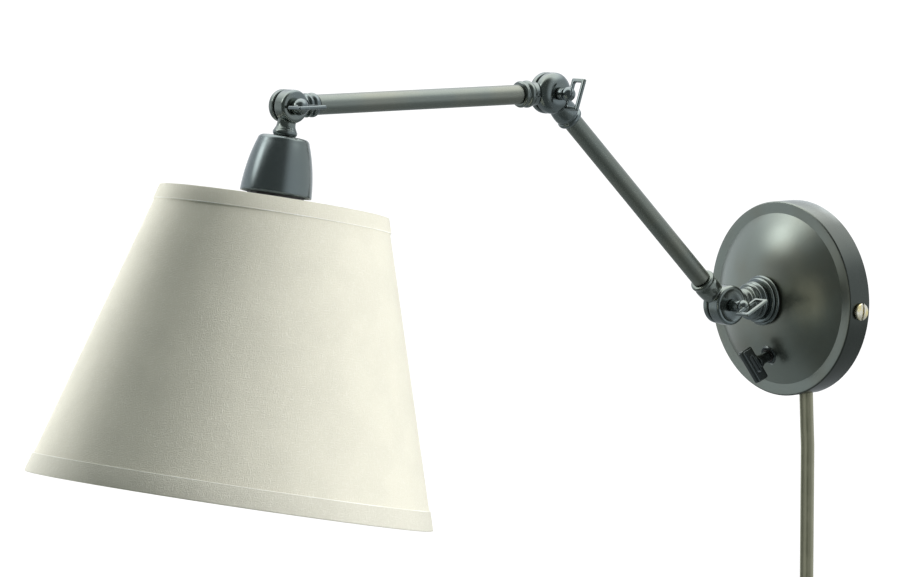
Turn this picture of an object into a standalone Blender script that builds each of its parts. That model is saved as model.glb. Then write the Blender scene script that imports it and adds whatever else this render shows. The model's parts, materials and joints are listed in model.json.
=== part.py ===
"""A plug-in wall lamp with two friction-jointed arms and a tapered linen shade.

The origin is the centre of the wall plate's back: +Z is up, and the lamp reaches out from the wall along -Y.
Lengths below are in millimetres and angles in degrees; MM turns them into metres.
Every knuckle pairs a near cheek, on the +X side, with a far cheek, and a screw with a loop for a handle
clamps the two.
"""

import math

import bmesh
import bpy
from mathutils import Matrix, Vector

MM = 0.001
GAP = 0.3

# Sides of a turned piece: small, middling, large and the shade
SMALL = 12
ROUND = 18
LARGE = 32
CONE = 40

# Wall plate
PLATE_RADIUS = 60.3
PLATE_DEPTH = 17.0
PLATE_WALL = 1.2
DOME_HEIGHT = 31.6
DOME_FOOT = 53.0
SPINDLE_HOLE = 6.2
SIDE_SCREW_DEPTH = 8.5
SIDE_SCREW_DROP = 4.0
TIE_HOLE_X = 16.0

# Arms: the three joints lie in the plane x = 0
WALL_JOINT_REACH = 67.4
ARM_LENGTH = 196.5
LOWER_ARM_RISE = 43.2
HEAD_TILT = 11.4
TUBE_RADIUS = 5.75
TUBE_WALL = 0.85
TUBE_START = 24.3
SLIM_TUBE_START = 18.7
LEAD_BORE = 3.0
LEAD_RADIUS = 2.3
LEAD_WIRE = 1.2

# Knuckles
CHEEK_RADIUS = 12.2
HEAD_CHEEK_RADIUS = 9.4
CHEEK_GAP = 0.7
CHEEK_FACE = 9.5
HEAD_CHEEK_FACE = 6.5
SCREW_HOLE = 2.4
SCREW_RADIUS = 2.0

# Clamp keys
KEY_LOOP_WIDTH = 11.0
KEY_LOOP_LENGTH = 19.5
KEY_BAR = 2.2
KEY_STEM_RADIUS = 3.7

# Rotary switch, on the dome below the hub
SWITCH_PLACE = (0.0, -24.3, -33.6)
SWITCH_TILT = 21.0
SWITCH_KEY_TURN = 23.0

# Cup, socket and shade, measured along the head's axis from the head joint
CUP_TOP = 17.4
CUP_BOTTOM = 50.0
CUP_WALL = 1.2
SHADE_TOP = 54.0
SHADE_TOP_RADIUS = 64.0
SHADE_BOTTOM_RADIUS = 114.0
SHADE_SLANT = 175.0
SHADE_WALL = 1.05
SHADE_WIRE = 1.2
FITTER_PLACE = 57.6

# Mains lead: a drop down the wall, a tied coil below it, and a plug
CORD_WIDTH = 8.5
CORD_X = 9.0
CORD_OFF_WALL = 4.6
CORD_TOP = -58.3
COIL_CENTRE = (-14.8, -249.0)
COIL_OUTER = 58.4
COIL_INNER = 40.8
COIL_BACK = 1.8
COIL_FRONT = 19.5
TIE_ANGLE = 50.0
TIE_WIDTH = 8.0
TAIL_X = 41.0
PLUG_TOP = -297.0
PLUG_LENGTH = 38.0
BLADE_SPACING = 12.7

# Colour, roughness and metallic value of each finish
FINISHES = {
    "gunmetal": ((0.115, 0.128, 0.118), 0.36, 0.85),
    "nickel": ((0.62, 0.58, 0.47), 0.28, 1.0),
    "zinc_steel": ((0.55, 0.56, 0.57), 0.38, 1.0),
    "brass": ((0.72, 0.53, 0.24), 0.30, 1.0),
    "fibre": ((0.10, 0.095, 0.085), 0.80, 0.0),
    "black_phenolic": ((0.025, 0.025, 0.025), 0.45, 0.0),
    "linen": ((0.80, 0.78, 0.68), 0.95, 0.0),
    "white_wire": ((0.75, 0.75, 0.72), 0.50, 0.0),
    "opal_glass": ((0.93, 0.93, 0.90), 0.12, 0.0),
    "cord_vinyl": ((0.135, 0.140, 0.085), 0.48, 0.0),
    "connector_plastic": ((0.60, 0.30, 0.08), 0.45, 0.0),
    "lead_vinyl": ((0.04, 0.04, 0.04), 0.50, 0.0),
}


def clear_scene():
    for obj in list(bpy.data.objects):
        bpy.data.objects.remove(obj, do_unlink=True)


# ---------------------------------------------------------------- outlines


def arc(centre, radius, start, end, count):
    """Points on an arc of a (radius, height) outline, from one angle to another."""
    steps = [math.radians(start + (end - start) * i / (count - 1)) for i in range(count)]
    return [(centre[0] + radius * math.cos(a), centre[1] + radius * math.sin(a)) for a in steps]


def bezier(start, pull_a, pull_b, end, count):
    """Points on a cubic curve between two outline points."""
    points = []
    for i in range(count):
        t = i / (count - 1)
        s = 1.0 - t
        weights = (s**3, 3 * s * s * t, 3 * s * t * t, t**3)
        corners = (start, pull_a, pull_b, end)
        points.append(tuple(sum(w * c[k] for w, c in zip(weights, corners)) for k in (0, 1)))
    return points


def bead(foot, crown, low, high, count=4):
    """A half-round turned ring that rises from one radius to another, between two heights."""
    angles = [math.pi * i / (count - 1) for i in range(count)]
    middle = (low + high) / 2
    half = (high - low) / 2
    return [(foot + (crown - foot) * math.sin(a), middle - half * math.cos(a)) for a in angles]


def smooth_route(points, step):
    """Points a step apart on a smooth curve through the route's own points."""
    ends = [2 * Vector(points[0]) - Vector(points[1]), 2 * Vector(points[-1]) - Vector(points[-2])]
    knots = [ends[0]] + [Vector(p) for p in points] + [ends[1]]
    route = []
    for before, a, b, after in zip(knots, knots[1:], knots[2:], knots[3:]):
        count = max(1, round((b - a).length / step))
        for i in range(count):
            t = i / count
            bend = 2 * before - 5 * a + 4 * b - after
            twist = 3 * a - before - 3 * b + after
            route.append(0.5 * (2 * a + (b - before) * t + bend * t * t + twist * t**3))
    return route + [Vector(points[-1])]


# ---------------------------------------------------------------- meshes


def finished(shape):
    """The mesh of a bmesh, with doubled points merged and every face pointing out."""
    bmesh.ops.remove_doubles(shape, verts=shape.verts, dist=1e-6)
    bmesh.ops.recalc_face_normals(shape, faces=shape.faces)
    mesh = bpy.data.meshes.new("shape")
    shape.to_mesh(mesh)
    shape.free()
    return mesh


def turned(outline, segments=ROUND):
    """A shape turned round Z from (radius, height) points; an outline off the axis is closed on itself."""
    shape = bmesh.new()
    points = [shape.verts.new((r * MM, 0.0, h * MM)) for r, h in outline]
    edges = [shape.edges.new(pair) for pair in zip(points, points[1:])]
    if outline[0][0] > 0:
        edges.append(shape.edges.new((points[-1], points[0])))
    whole = {"cent": (0, 0, 0), "axis": (0, 0, 1), "angle": math.tau, "use_merge": True}
    bmesh.ops.spin(shape, geom=points + edges, steps=segments, **whole)
    return finished(shape)


def turned_on_x(outline, segments=ROUND):
    """A shape turned round X, whose heights run along +X."""
    mesh = turned(outline, segments)
    mesh.transform(Matrix.Rotation(math.pi / 2, 4, "Y"))
    return mesh


def pipe(outer, inner, low, high, segments=ROUND):
    return turned([(outer, low), (outer, high), (inner, high), (inner, low)], segments)


def rod(radius, low, high, segments=ROUND):
    return turned([(0, low), (radius, low), (radius, high), (0, high)], segments)


def rod_on_x(radius, low, high, segments=ROUND):
    return turned_on_x([(0, low), (radius, low), (radius, high), (0, high)], segments)


def wire_ring(radius, height, thickness):
    return turned(arc((radius, height), thickness, 0, 300, 6), LARGE)


def block(size, centre):
    shape = bmesh.new()
    bmesh.ops.create_cube(shape, size=1.0)
    bmesh.ops.scale(shape, vec=Vector(size) * MM, verts=shape.verts)
    bmesh.ops.translate(shape, vec=Vector(centre) * MM, verts=shape.verts)
    return finished(shape)


def rounded_outline(width, length, corner, count=4):
    """The corners of a rounded rectangle in the XY plane, as points in order."""
    points = []
    for quarter, (sx, sy) in enumerate(((1, 1), (-1, 1), (-1, -1), (1, -1))):
        centre = (sx * (width / 2 - corner), sy * (length / 2 - corner))
        points += arc(centre, corner, 90 * quarter, 90 * quarter + 90, count)
    return points


def loop_plate(outer, inner, thickness):
    """A flat loop in the XY plane: the band between two outlines of as many points, thickened along Z."""
    shape = bmesh.new()
    rings = []
    for outline in (outer, inner):
        points = [shape.verts.new((x * MM, y * MM, -thickness / 2 * MM)) for x, y in outline]
        rings.append([shape.edges.new(pair) for pair in zip(points, points[1:] + points[:1])])
    band = bmesh.ops.bridge_loops(shape, edges=rings[0] + rings[1])["faces"]
    raised = bmesh.ops.extrude_face_region(shape, geom=band, use_keep_orig=True)["geom"]
    corners = [item for item in raised if isinstance(item, bmesh.types.BMVert)]
    bmesh.ops.translate(shape, vec=(0, 0, thickness * MM), verts=corners)
    return finished(shape)


def loft(bottom, top, low, high, bevel):
    """A block whose rectangular ends differ in size, with its edges rounded."""
    shape = bmesh.new()
    bmesh.ops.create_cube(shape, size=1.0)
    for corner in shape.verts:
        size, height = (top, high) if corner.co.z > 0 else (bottom, low)
        corner.co = Vector((corner.co.x * size[0], corner.co.y * size[1], height)) * MM
    bmesh.ops.bevel(shape, geom=list(shape.edges), offset=bevel * MM, segments=3, profile=0.5, affect="EDGES")
    return finished(shape)


def combined(mesh, others, operation):
    """One mesh after a union with the other meshes, or after they are cut away."""
    for other in others:
        base = bpy.data.objects.new("base", mesh)
        tool = bpy.data.objects.new("tool", other)
        for obj in (base, tool):
            bpy.context.scene.collection.objects.link(obj)
        step = base.modifiers.new("step", "BOOLEAN")
        step.operation = operation
        step.object = tool
        graph = bpy.context.evaluated_depsgraph_get()
        mesh = bpy.data.meshes.new_from_object(base.evaluated_get(graph))
        bpy.data.objects.remove(base)
        bpy.data.objects.remove(tool)
    return mesh


def joined(mesh, *others):
    return combined(mesh, others, "UNION")


def cut(mesh, *others):
    return combined(mesh, others, "DIFFERENCE")


def moved(mesh, matrix):
    mesh.transform(matrix)
    return mesh


def shifted(mesh, place):
    return moved(mesh, Matrix.Translation(Vector(place) * MM))


def hexagon(across_flats, inner, low, high):
    """A nut on the Z axis."""
    nut = rod(across_flats / 2 / math.cos(math.pi / 6), low, high, 6)
    return cut(nut, rod(inner, low - 1, high + 1, SMALL))


# ---------------------------------------------------------------- objects


def finish_of(name, finish):
    colour, roughness, metallic = FINISHES[finish]
    material = bpy.data.materials.new(name + "_finish")
    material.use_nodes = True
    shader = material.node_tree.nodes["Principled BSDF"]
    shader.inputs["Base Color"].default_value = (*colour, 1.0)
    shader.inputs["Roughness"].default_value = roughness
    shader.inputs["Metallic"].default_value = metallic
    return material


def pivot(name, place, turn=0.0, parent=None):
    """An empty at a joint, in millimetres and turned about X, which carries the pieces that move together."""
    empty = bpy.data.objects.new(name, None)
    empty.empty_display_size = 0.02
    empty.parent = parent
    empty.location = Vector(place) * MM
    empty.rotation_euler = (math.radians(turn), 0.0, 0.0)
    bpy.context.scene.collection.objects.link(empty)
    return empty


def piece(name, mesh, finish, parent=None, place=(0, 0, 0), turn=(0, 0, 0)):
    """A named sub-part with its finish, placed and turned under its pivot."""
    mesh.name = name
    mesh.materials.clear()
    mesh.materials.append(finish_of(name, finish))
    mesh.shade_smooth()
    mesh.set_sharp_from_angle(angle=math.radians(35))
    obj = bpy.data.objects.new(name, mesh)
    obj.parent = parent
    obj.location = Vector(place) * MM
    obj.rotation_euler = [math.radians(angle) for angle in turn]
    bpy.context.scene.collection.objects.link(obj)
    return obj


def strand(name, points, radius, finish, parent=None, step=8.0):
    """A cord or a wire: a round tube along a smooth curve through its route's points."""
    curve = bpy.data.curves.new(name, "CURVE")
    curve.dimensions = "3D"
    curve.bevel_depth = radius * MM
    curve.bevel_resolution = 2
    curve.use_fill_caps = True
    route = smooth_route(points, step)
    spline = curve.splines.new("POLY")
    spline.points.add(len(route) - 1)
    for point, place in zip(spline.points, route):
        point.co = (*(place * MM), 1.0)
    curve.materials.append(finish_of(name, finish))
    obj = bpy.data.objects.new(name, curve)
    obj.parent = parent
    bpy.context.scene.collection.objects.link(obj)
    return obj


# ---------------------------------------------------------------- wall plate

OUT_OF_WALL = (90, 0, 0)


def switch_direction():
    tilt = math.radians(SWITCH_TILT)
    return Vector((0.0, -math.cos(tilt), -math.sin(tilt)))


def dome(inset, count=6):
    """The wall plate's dome, from its foot to the hole for the spindle, on one face of the metal."""
    height = DOME_HEIGHT - inset
    foot = PLATE_DEPTH - inset
    return bezier((DOME_FOOT, foot), (44, foot + 0.6), (26, height - 0.6), (SPINDLE_HOLE, height), count)


def make_canopy():
    rim = PLATE_RADIUS
    outside = [(rim, 0)] + arc((rim - 0.8, PLATE_DEPTH - 0.8), 0.8, 0, 90, 3) + dome(0)
    inner_rim = rim - PLATE_WALL
    corner = [(inner_rim - 0.8, PLATE_DEPTH - PLATE_WALL), (inner_rim, PLATE_DEPTH - PLATE_WALL - 0.8)]
    inside = dome(PLATE_WALL)[::-1] + corner + [(inner_rim, 0)]
    shell = turned(outside + inside, LARGE)
    notch = block((CORD_WIDTH + 1.8, 8.0, 2 * (CORD_OFF_WALL + 5.0)), (CORD_X, -PLATE_RADIUS, 0))
    screws = shifted(rod_on_x(2.5, -70, 70, SMALL), (0, -SIDE_SCREW_DROP, SIDE_SCREW_DEPTH))
    x, y, z = SWITCH_PLACE
    switch_hole = moved(rod(4.6, -12, 12, SMALL), Matrix.Rotation(math.radians(SWITCH_TILT), 4, "X"))
    shell = cut(shell, notch, screws, shifted(switch_hole, (x, z, -y)))
    piece("wall_plate", shell, "gunmetal", turn=OUT_OF_WALL)


def make_bracket():
    """The strap that the wall plate's two side screws grip, with its slots and holes for the wall screws."""
    half = PLATE_RADIUS - PLATE_WALL - 3.5
    strap = block((2 * half, 22, 2.0), (0, 0, 1.0))
    for side in (-1, 1):
        ear = block((2.0, 16, 14.0), (side * (half - 1.0), 0, 7.0))
        strap = joined(strap, ear)
        slot = block((9, 5, 6), (side * 34, 0, 1))
        strap = cut(strap, slot)
    tapped = shifted(rod_on_x(2.3, -70, 70, SMALL), (0, 0, SIDE_SCREW_DEPTH))
    tie_holes = [shifted(rod(2.1, -3, 5, SMALL), (x, 0, 0)) for x in (-TIE_HOLE_X, TIE_HOLE_X)]
    strap = cut(strap, tapped, *tie_holes)
    piece("mounting_strap", strap, "zinc_steel", place=(0, 0, -SIDE_SCREW_DROP), turn=OUT_OF_WALL)


def side_screw():
    """A slotted cheese-head screw along X, whose head starts at the origin."""
    head = [(0, 2.6)] + arc((4.4, 1.8), 0.8, 90, 0, 3) + [(5.2, 0)]
    shank = [(1.9, 0), (1.9, -9.5), (0, -9.5)]
    return cut(turned_on_x(head + shank, SMALL), block((2.6, 1.3, 12), (2.3, 0, 0)))


def make_side_screws():
    reach = PLATE_RADIUS + 0.5
    for name, side, turn in (("side_screw_right", 1, 0), ("side_screw_left", -1, 180)):
        place = (side * reach, -SIDE_SCREW_DEPTH, -SIDE_SCREW_DROP)
        piece(name, side_screw(), "nickel", place=place, turn=(0, 0, turn))


def make_hub_base():
    low = DOME_HEIGHT + GAP
    rings = bead(14.2, 15.5, low, 34.4) + bead(12.8, 14.2, 34.6, 37.0)
    piece("hub_base", turned([(6.4, low)] + rings + [(6.4, 37.0)]), "gunmetal", turn=OUT_OF_WALL)


def make_friction_washer():
    inner_face = DOME_HEIGHT - PLATE_WALL
    washer = pipe(10.5, 6.3, inner_face - 1.9, inner_face - 0.9)
    piece("friction_washer", washer, "fibre", turn=OUT_OF_WALL)


def make_switch():
    tilt = (90 + SWITCH_TILT, 0, 0)
    can = [(0, -16), (8.5, -16), (8.5, -3.6), (4.0, -3.6), (4.0, 3.4), (0, 3.4)]
    piece("switch_body", turned(can), "black_phenolic", place=SWITCH_PLACE, turn=tilt)
    ring = [(4.3, 0.9), (6.2, 0.9), (6.2, 2.2), (5.6, 2.9), (4.3, 2.9)]
    piece("switch_ring_nut", turned(ring), "gunmetal", place=SWITCH_PLACE, turn=tilt)
    carrier = pivot("switch_pivot", SWITCH_PLACE, tilt[0])
    stem = [(0, 3.8), (3.5, 3.8), (3.3, 9.0), (4.3, 11.0), (4.3, 13.2), (0, 13.2)]
    bow = loop_plate(rounded_outline(9.4, 22, 4.4), rounded_outline(3.4, 13, 1.65), 4.6)
    bow = moved(bow, Matrix.Rotation(math.pi / 2, 4, "X") @ Matrix.Rotation(math.pi / 2, 4, "Z"))
    key = joined(turned(stem, SMALL), shifted(bow, (0, 0, 16.6)))
    upright = Matrix.Rotation(math.radians(90 + SWITCH_KEY_TURN), 4, "Z")
    piece("switch_key", moved(key, upright), "gunmetal", parent=carrier)


def make_wall_wiring():
    """The bushing that grips the mains lead, the joints of the wires, and the short leads between them."""
    low = CORD_TOP + GAP
    taper = [(0, low), (4.3, low), (4.3, low + 2), (3.6, low + 2.6), (3.6, low + 4), (4.2, low + 4.6)]
    bushing = turned(taper + [(4.2, low + 7), (2.8, low + 22), (0, low + 22)], SMALL)
    piece("cord_bushing", bushing, "black_phenolic", place=(CORD_X, -CORD_OFF_WALL, 0))
    for name, x in (("wire_joint_right", 10), ("wire_joint_left", -10)):
        cap = [(0, 20), (2.6, 20), (3.6, 19), (5.2, 2), (5.2, 0), (3.8, 0), (2.4, 14), (0, 14)]
        piece(name, turned(cap, SMALL), "connector_plastic", place=(x, -12, 20))
    neutral = [(9, -4.7, -35.4), (9.4, -5, -31), (14, -9, -20), (17, -13, -4), (11, -13, 12)]
    strand("neutral_lead", neutral + [(10, -12, 19.4)], LEAD_WIRE, "lead_vinyl", step=7)
    switched = [(-10.6, -12, -26), (-14, -13, -16), (-16, -13, 0), (-11, -12.5, 13), (-10, -12, 19.4)]
    strand("switched_lead", switched, LEAD_WIRE, "lead_vinyl", step=7)


# ---------------------------------------------------------------- knuckles


def near_cheek(radius, face):
    """A round cheek on +X that swells into a bun, with a hole for the clamp screw."""
    bun = bezier((radius, 4.2), (radius, 6.9), (radius * 0.72, face), (radius * 0.42, face), 5)
    edge = [(SCREW_HOLE, CHEEK_GAP), (radius - 0.9, CHEEK_GAP), (radius, CHEEK_GAP + 0.9)]
    return turned_on_x(edge + bun + [(SCREW_HOLE, face)])


def flat_cheek(radius, face):
    """A round cheek on +X with a bevelled rim and a dished face."""
    rim = [(radius, CHEEK_GAP + 0.9), (radius, face - 1.3), (radius - 1.1, face)]
    dish = [(radius - 2.0, face), (radius - 2.8, face - 0.6), (SCREW_HOLE, face - 0.8)]
    return turned_on_x([(SCREW_HOLE, CHEEK_GAP), (radius - 0.9, CHEEK_GAP)] + rim + dish)


def far_cheek(radius, depth):
    """A shallow domed cheek on -X with a blind hole that the clamp screw bites into."""
    rim = [(SCREW_HOLE, -CHEEK_GAP), (radius - 0.9, -CHEEK_GAP), (radius, -CHEEK_GAP - 0.9)]
    brow = (radius, -depth * 0.55)
    dome_side = bezier(brow, (radius, -depth * 0.85), (radius * 0.7, -depth), (0, -depth), 4)
    blind = [(0, -depth + 1.5), (SCREW_HOLE, -depth + 1.5)]
    return turned_on_x((rim + dome_side + blind)[::-1])


def knuckle(cheek, neck, side, mate_radius):
    """A cheek and the neck that leaves it along +Z, with room cut for the cheek that it is clamped to."""
    room = CHEEK_GAP * side
    beyond = -20 * side
    clearance = rod_on_x(mate_radius + 0.5, min(room, beyond), max(room, beyond), LARGE)
    return joined(cut(neck, clearance), cheek)


def arm_neck():
    """The neck at an arm's end, from inside the cheek to the spigot in the tube, with two turned rings."""
    rings = bead(6.9, 8.0, 16.4, 20.2) + bead(6.5, 7.8, 21.2, 23.7)
    outside = [(6.9, 5)] + rings + [(6.4, 24.0), (4.6, 24.0), (4.6, 34)]
    return turned(outside + [(LEAD_BORE, 34), (LEAD_BORE, 5)])


def slim_neck():
    """The lighter neck at the head end of the upper arm."""
    rings = bead(5.7, 6.9, 11.0, 13.4) + bead(5.9, 6.9, 14.4, 17.8)
    outside = [(5.4, 4)] + rings + [(6.2, 18.4), (4.6, 18.4), (4.6, 28)]
    return turned(outside + [(LEAD_BORE, 28), (LEAD_BORE, 4)])


def hub_neck():
    """The swivel hub: its turned rings stand on the hub base, and its neck reaches the wall joint."""
    top = WALL_JOINT_REACH - 37.0 - GAP
    shank = [(6.5, 5), (6.5, 15.0)] + bead(6.6, 7.5, 15.2, 16.6) + [(7.6, 17.2), (8.4, 18.6), (8.5, 22.2)]
    rings = bead(9.6, 11.3, 22.7, 25.3) + bead(10.6, 12.1, 25.7, 28.8) + [(11.0, 29.0), (11.0, top)]
    bore = [(5.8, top), (5.8, 22.8), (LEAD_BORE, 22.8), (LEAD_BORE, 5)]
    return turned(shank + rings + bore)


def head_neck():
    """The neck below the head joint, down to the threaded end that holds the cup."""
    outside = [(5.4, 4), (5.4, 9.5), (5.7, 11.5), (6.6, 14.2), (6.9, 15.2), (6.9, 16.2), (6.2, 16.7)]
    seat = CUP_TOP - GAP
    thread = [(6.2, seat), (4.8, seat), (4.8, 23.2), (LEAD_BORE, 23.2), (LEAD_BORE, 4)]
    return turned(outside + thread)


def clamp_key(name, place, turn, stem_start, ball, loop_start, ball_size=4.1):
    """A clamp screw on +X: a threaded shank, a stem that ends in a ball, and a flat loop to turn it by."""
    shank_end = -CHEEK_GAP - 3.9
    ball_arc = arc((0, ball), ball_size, -55, 90, 6)
    shank = [(0, shank_end), (SCREW_RADIUS, shank_end), (SCREW_RADIUS, stem_start)]
    stem = [(KEY_STEM_RADIUS, stem_start), (KEY_STEM_RADIUS - 0.4, ball - ball_size * 0.9)]
    body = turned_on_x(shank + stem + ball_arc, SMALL)
    width, length = KEY_LOOP_WIDTH, KEY_LOOP_LENGTH
    outer = rounded_outline(width, length, 1.2, 3)
    inner = rounded_outline(width - 2 * KEY_BAR, length - 2 * KEY_BAR, 0.6, 3)
    loop = moved(loop_plate(outer, inner, KEY_BAR), Matrix.Rotation(math.pi / 2, 4, "X"))
    body = joined(body, shifted(loop, (loop_start + width / 2, 0, 0)))
    carrier = pivot(name + "_pivot", place, turn)
    piece(name, body, "gunmetal", parent=carrier)


def joint_washer(name, parent, radius, place=(0, 0, 0)):
    half = CHEEK_GAP - GAP
    washer = turned_on_x([(SCREW_HOLE, -half), (radius, -half), (radius, half), (SCREW_HOLE, half)])
    piece(name, washer, "fibre", parent=parent, place=place)


# ---------------------------------------------------------------- arms


def make_swivel(wall_joint):
    carrier = pivot("swivel_pivot", (0, 0, 0))
    shape = knuckle(far_cheek(CHEEK_RADIUS - 0.4, 6.8), hub_neck(), -1, CHEEK_RADIUS)
    piece("swivel_hub", shape, "gunmetal", parent=carrier, place=wall_joint, turn=(-90, 0, 0))
    spindle = pipe(5.5, 3.3, 22.0, 44.2)
    piece("swivel_spindle", spindle, "brass", parent=carrier, turn=OUT_OF_WALL)
    nut = hexagon(15, 5.8, 23.4, 28.1)
    piece("spindle_nut", nut, "brass", parent=carrier, turn=OUT_OF_WALL)


def make_arm_tube(name, parent, start, end):
    tube = pipe(TUBE_RADIUS, TUBE_RADIUS - TUBE_WALL, start, end)
    piece(name, tube, "gunmetal", parent=parent)


def make_lower_arm(wall_joint):
    carrier = pivot("lower_arm_pivot", wall_joint, 90 - LOWER_ARM_RISE)
    foot = knuckle(flat_cheek(CHEEK_RADIUS, CHEEK_FACE), arm_neck(), 1, CHEEK_RADIUS)
    piece("lower_arm_foot", foot, "gunmetal", parent=carrier)
    make_arm_tube("lower_arm_tube", carrier, TUBE_START, ARM_LENGTH - TUBE_START)
    elbow = knuckle(near_cheek(CHEEK_RADIUS, CHEEK_FACE), arm_neck(), 1, CHEEK_RADIUS)
    piece("lower_arm_elbow", elbow, "gunmetal", parent=carrier, place=(0, 0, ARM_LENGTH), turn=(180, 0, 0))
    piece("lower_arm_lead", rod(LEAD_RADIUS, 14, ARM_LENGTH - 14, SMALL), "lead_vinyl", parent=carrier)
    joint_washer("wall_joint_washer", carrier, 9.5)
    joint_washer("elbow_washer", carrier, 9.5, (0, 0, ARM_LENGTH))


def make_upper_arm(elbow_joint):
    carrier = pivot("upper_arm_pivot", elbow_joint, 90)
    elbow = knuckle(far_cheek(CHEEK_RADIUS, 6.8), arm_neck(), -1, CHEEK_RADIUS)
    piece("upper_arm_elbow", elbow, "gunmetal", parent=carrier)
    make_arm_tube("upper_arm_tube", carrier, TUBE_START, ARM_LENGTH - SLIM_TUBE_START)
    end = knuckle(far_cheek(HEAD_CHEEK_RADIUS, 6.6), slim_neck(), -1, HEAD_CHEEK_RADIUS)
    piece("upper_arm_end", end, "gunmetal", parent=carrier, place=(0, 0, ARM_LENGTH), turn=(180, 0, 0))
    piece("upper_arm_lead", rod(LEAD_RADIUS, 14, ARM_LENGTH - 11, SMALL), "lead_vinyl", parent=carrier)


# ---------------------------------------------------------------- head


def cup_side(inset, count=7):
    """The cup's side, from its rounded shoulder to its open rim, on one face of the metal."""
    shoulder = arc((10.6, CUP_TOP + 3.0), 3.0 - inset, -90, -15, 3)
    start, end = (13.6 - inset, 20.2), (19.7 - inset, CUP_BOTTOM)
    return shoulder + bezier(start, (16.0 - inset, 26), (19.2 - inset, 38), end, count - 2)


def make_cup(carrier):
    outline = [(5.2, CUP_TOP)] + cup_side(0) + cup_side(CUP_WALL)[::-1] + [(5.2, CUP_TOP + CUP_WALL)]
    piece("socket_cup", turned(outline, LARGE), "gunmetal", parent=carrier)
    piece("cup_nut", hexagon(13, 5.1, CUP_TOP + 1.6, CUP_TOP + 4.6), "zinc_steel", parent=carrier)


def make_socket(carrier):
    outside = [(2.6, 24.5), (12.4, 24.5), (13, 25.1), (13, 34), (16.2, 36), (16.2, 55)]
    flange = [(18.4, 55), (18.4, 57.2), (16.2, 57.2), (16.2, 64)]
    inside = [(14.5, 64), (14.5, 38.2), (2.6, 38.2)]
    piece("socket_body", turned(outside + flange + inside), "black_phenolic", parent=carrier)
    piece("socket_shell", pipe(14.2, 13.6, 39.8, 62.6), "brass", parent=carrier)
    contact = [(0, 38.5), (3.6, 38.5), (3.6, 39.1), (1.6, 39.5), (0, 39.5)]
    piece("socket_contact", turned(contact, SMALL), "brass", parent=carrier)


def make_bulb(carrier):
    tip = [(0, 39.9), (4.0, 40.4), (5.0, 42.5), (12.0, 44.6), (13.05, 46)]
    cap = tip + [(13.05, 65), (12.6, 66.4), (12.0, 66.4), (12.0, 47), (0, 46)]
    piece("bulb_cap", turned(cap), "zinc_steel", parent=carrier)

    def envelope(inset):
        side = bezier((11.6 - inset, 68), (12.4 - inset, 84), (30 - inset, 92), (30 - inset, 116), 6)
        crown = arc((0, 116), 30 - inset, 0, 90, 5)
        return [(11.6 - inset, 60)] + side + crown[1:]

    glass = envelope(0)[:-1] + [(0, 146.0), (0, 145.2)] + envelope(0.8)[:-1][::-1]
    seam = glass.index((0, 146.0))
    outline = glass[seam + 1 :] + glass[: seam + 1]
    piece("bulb_glass", turned(outline), "opal_glass", parent=carrier)


def shade_radius(height):
    """The shade's outer radius at a place on the head's axis."""
    return SHADE_TOP_RADIUS + (height - SHADE_TOP) * shade_slope()


def shade_drop():
    return math.sqrt(SHADE_SLANT**2 - (SHADE_BOTTOM_RADIUS - SHADE_TOP_RADIUS) ** 2)


def shade_slope():
    return (SHADE_BOTTOM_RADIUS - SHADE_TOP_RADIUS) / shade_drop()


def cone_band(low, high, outside, inside):
    """A tapered band that follows the shade between two places, at two offsets from its outer face."""
    near, far = shade_radius(low), shade_radius(high)
    outline = [(near + outside, low), (far + outside, high), (far + inside, high), (near + inside, low)]
    return turned(outline, CONE)


def make_shade(carrier):
    bottom = SHADE_TOP + shade_drop()
    piece("shade_cone", cone_band(SHADE_TOP, bottom, 0, -SHADE_WALL), "linen", parent=carrier)
    piece("shade_top_band", cone_band(SHADE_TOP, SHADE_TOP + 8, 0.95, GAP), "linen", parent=carrier)
    piece("shade_bottom_band", cone_band(bottom - 10, bottom, 0.95, GAP), "linen", parent=carrier)
    ring_place = bottom - 2.2
    ring_radius = shade_radius(ring_place) - SHADE_WALL - SHADE_WIRE - 0.45
    piece("shade_bottom_wire", wire_ring(ring_radius, ring_place, SHADE_WIRE), "white_wire", parent=carrier)
    top_place = SHADE_TOP + 2.2
    top_radius = shade_radius(top_place) - SHADE_WALL - SHADE_WIRE - 0.45
    spider = joined(wire_ring(top_radius, top_place, SHADE_WIRE), pipe(20.6, 16.7, FITTER_PLACE, 58.9))
    hub_end = Vector((19, 0, FITTER_PLACE + 0.3))
    run = Vector((top_radius, 0, top_place)) - hub_end
    for angle in (30, 150, 270):
        spoke = rod_on_x(SHADE_WIRE, 0, run.length, 8)
        spoke = moved(spoke, Matrix.Rotation(-math.atan2(run.z, run.x), 4, "Y"))
        spoke = shifted(spoke, hub_end)
        spider = joined(spider, moved(spoke, Matrix.Rotation(math.radians(angle), 4, "Z")))
    piece("shade_spider", spider, "white_wire", parent=carrier)
    ring_nut = [(16.6, 59.3), (20.2, 59.3), (20.8, 59.9), (20.8, 63.0), (20.2, 63.6), (16.6, 63.6)]
    piece("shade_ring_nut", turned(ring_nut), "black_phenolic", parent=carrier)


def make_head(head_joint):
    carrier = pivot("head_pivot", head_joint, 180 - HEAD_TILT)
    shape = knuckle(near_cheek(HEAD_CHEEK_RADIUS, HEAD_CHEEK_FACE), head_neck(), 1, HEAD_CHEEK_RADIUS)
    piece("head_knuckle", shape, "gunmetal", parent=carrier)
    joint_washer("head_washer", carrier, 7.4)
    make_cup(carrier)
    make_socket(carrier)
    make_bulb(carrier)
    make_shade(carrier)


# ---------------------------------------------------------------- mains lead


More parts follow.
